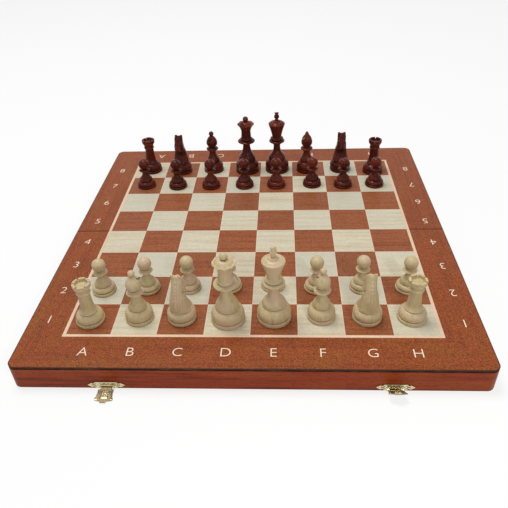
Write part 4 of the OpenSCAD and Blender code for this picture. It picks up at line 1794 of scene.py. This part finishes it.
    def build(self) -> None:
        """Sets every man on its square."""
        for node in sorted(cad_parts):
            if node.split("_")[0] not in ("white", "black"):
                continue
            side_name, kind_name, square = node.split("_")
            side, kind = Side(side_name), Kind(kind_name)
            low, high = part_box(node)
            mesh = self.mesh(side, kind, node == "black_bishop_f8")
            foot = Vector(((low.x + high.x) / 2, (low.y + high.y) / 2, low.z))
            turn = Matrix.Rotation(math.radians(self.turn(side, kind, square[0])), 4, "Z")
            self.finishes.piece(
                f"{node}_turned", mesh, PALE_MEN if side is Side.WHITE else DARK_MEN, node,
                [node], Matrix.Translation(foot) @ turn, 50,
            )


@dataclass(frozen=True)
class Lamp:
    """A round lamp that points at the middle of the board."""

    name: str
    at: Point3
    size: float
    power: float

    def hang(self) -> None:
        """Hangs the lamp."""
        data = bpy.data.lights.new(self.name, "AREA")
        data.shape = "DISK"
        data.size = self.size * MM
        data.energy = self.power
        made = new_object(self.name, data)
        made.location = Vector(self.at) * MM
        made.rotation_mode = "QUATERNION"
        made.rotation_quaternion = (-Vector(self.at)).to_track_quat("-Z", "Y")


@dataclass
class Studio:
    """The camera, the lamps and the white floor."""

    lens: float = 39.105
    camera_at: Point3 = (34.83, -615.98, 442.70)
    heading: float = 3.733
    tilt: float = 53.754
    roll: float = -2.437
    ambient: float = 0.38
    shadow: float = 0.22
    floor_reach: float = 4.0
    floor_tone: float = 0.95
    depth_seen: float = 1.0
    depth_rays: int = 48
    depth_gain: float = 60.0
    lamps: tuple[Lamp, ...] = (
        Lamp("key", (-420, 260, 2200), 900, 30),
        Lamp("flash", (330, -800, 620), 70, 1.7),
    )

    def camera(self) -> None:
        """Sets the camera at the photo's angle."""
        data = bpy.data.cameras.new("camera")
        data.sensor_width = 36
        data.lens = self.lens
        data.clip_start, data.clip_end = 0.01, 50
        made = new_object("camera", data)
        turns = [(self.heading, "Z"), (self.tilt, "X"), (self.roll, "Z")]
        matrix = Matrix.Translation(Vector(self.camera_at) * MM)
        for angle, axis in turns:
            matrix = matrix @ Matrix.Rotation(math.radians(angle), 4, axis)
        made.matrix_world = matrix
        bpy.context.scene.camera = made

    def seen(self, tree: bpy.types.NodeTree) -> bpy.types.NodeSocket:
        """1 for rays from the camera, a mirror or glass, and 0 for those that light things.

        Args:
            tree: The node tree it is used in.

        Returns:
            The socket.
        """
        path = tree.nodes.new("ShaderNodeLightPath")
        total: object = path.outputs["Is Camera Ray"]
        for name in ("Is Glossy Ray", "Is Transmission Ray"):
            either = tree.nodes.new("ShaderNodeMath")
            either.operation = "MAXIMUM"
            tree.links.new(total, either.inputs[0])
            tree.links.new(path.outputs[name], either.inputs[1])
            total = either.outputs[0]
        return total

    def world(self) -> None:
        """Lights everything evenly, and shows white where nothing is."""
        world = bpy.data.worlds.new("studio")
        world.use_nodes = True
        bpy.context.scene.world = world
        tree = world.node_tree
        background = tree.nodes["Background"]
        background.inputs["Color"].default_value = (1, 1, 1, 1)
        level = tree.nodes.new("ShaderNodeMapRange")
        tree.links.new(self.seen(tree), level.inputs[0])
        level.inputs[3].default_value = self.ambient
        level.inputs[4].default_value = 1.0
        tree.links.new(level.outputs[0], background.inputs["Strength"])

    def blend(
        self, tree: bpy.types.NodeTree, share: bpy.types.NodeSocket, a: bpy.types.NodeSocket,
        b: bpy.types.NodeSocket,
    ) -> bpy.types.NodeSocket:
        """Mixes two shaders.

        Args:
            tree: The node tree they are in.
            share: How much of the second shows.
            a: The first shader.
            b: The second shader.

        Returns:
            The mixed shader.
        """
        both = tree.nodes.new("ShaderNodeMixShader")
        for socket, value in zip(both.inputs, (share, a, b)):
            tree.links.new(value, socket)
        return both.outputs[0]

    def over_something(self, tree: bpy.types.NodeTree) -> bpy.types.NodeSocket:
        """1 where the floor has a piece below it, as the folded half is, and 0 elsewhere.

        Args:
            tree: The node tree it is used in.

        Returns:
            The socket.
        """
        below = tree.nodes.new("ShaderNodeAmbientOcclusion")
        below.inside, below.samples = True, self.depth_rays
        below.inputs["Distance"].default_value = self.depth_seen
        share = tree.nodes.new("ShaderNodeMath")
        share.operation, share.use_clamp = "MULTIPLY_ADD", True
        share.inputs[1].default_value = -self.depth_gain
        share.inputs[2].default_value = self.depth_gain
        tree.links.new(below.outputs["AO"], share.inputs[0])
        return share.outputs[0]

    def floor(self) -> None:
        """Lays a white floor that keeps a soft shadow and opens over what is below it."""
        reach = self.floor_reach
        mesh = bpy.data.meshes.new("floor")
        mesh.from_pydata(
            [(-reach, -reach, 0), (reach, -reach, 0), (reach, reach, 0), (-reach, reach, 0)],
            [], [(0, 1, 2, 3)],
        )
        made = new_object("floor", mesh)
        paint = bpy.data.materials.new("floor_white")
        paint.use_nodes = True
        tree = paint.node_tree
        tree.nodes.clear()
        lit = tree.nodes.new("ShaderNodeBsdfDiffuse")
        lit.inputs["Color"].default_value = (self.floor_tone,) * 3 + (1,)
        glow = tree.nodes.new("ShaderNodeEmission")
        share = tree.nodes.new("ShaderNodeMath")
        share.operation = "MULTIPLY"
        share.inputs[1].default_value = 1 - self.shadow
        tree.links.new(self.seen(tree), share.inputs[0])
        white = self.blend(tree, share.outputs[0], lit.outputs[0], glow.outputs[0])
        clear = tree.nodes.new("ShaderNodeBsdfTransparent")
        whole = self.blend(tree, self.over_something(tree), white, clear.outputs[0])
        out = tree.nodes.new("ShaderNodeOutputMaterial")
        tree.links.new(whole, out.inputs["Surface"])
        mesh.materials.append(paint)

    def build(self) -> None:
        """Sets the studio up."""
        bpy.context.scene.view_settings.view_transform = "Standard"
        self.camera()
        self.world()
        for lamp in self.lamps:
            lamp.hang()
        self.floor()


def main() -> None:
    """Builds the studio, the box and the men."""
    logging.basicConfig(level=logging.INFO, format="%(message)s")
    Studio().build()
    finishes = Finishes()
    for half in Half:
        BoardHalf(half, finishes).build()
    finishes.dress("hinge_pins", HINGE_BRASS)
    finishes.dress("clasp_pins", PLAIN_CLASP_BRASS)
    finishes.dress("catches", PLAIN_CLASP_BRASS, 0.2)
    Clasp("left", 5, finishes).build()
    Clasp("right", -35, finishes).build()
    Men(finishes).build()


if __name__ == "__main__":
    main()
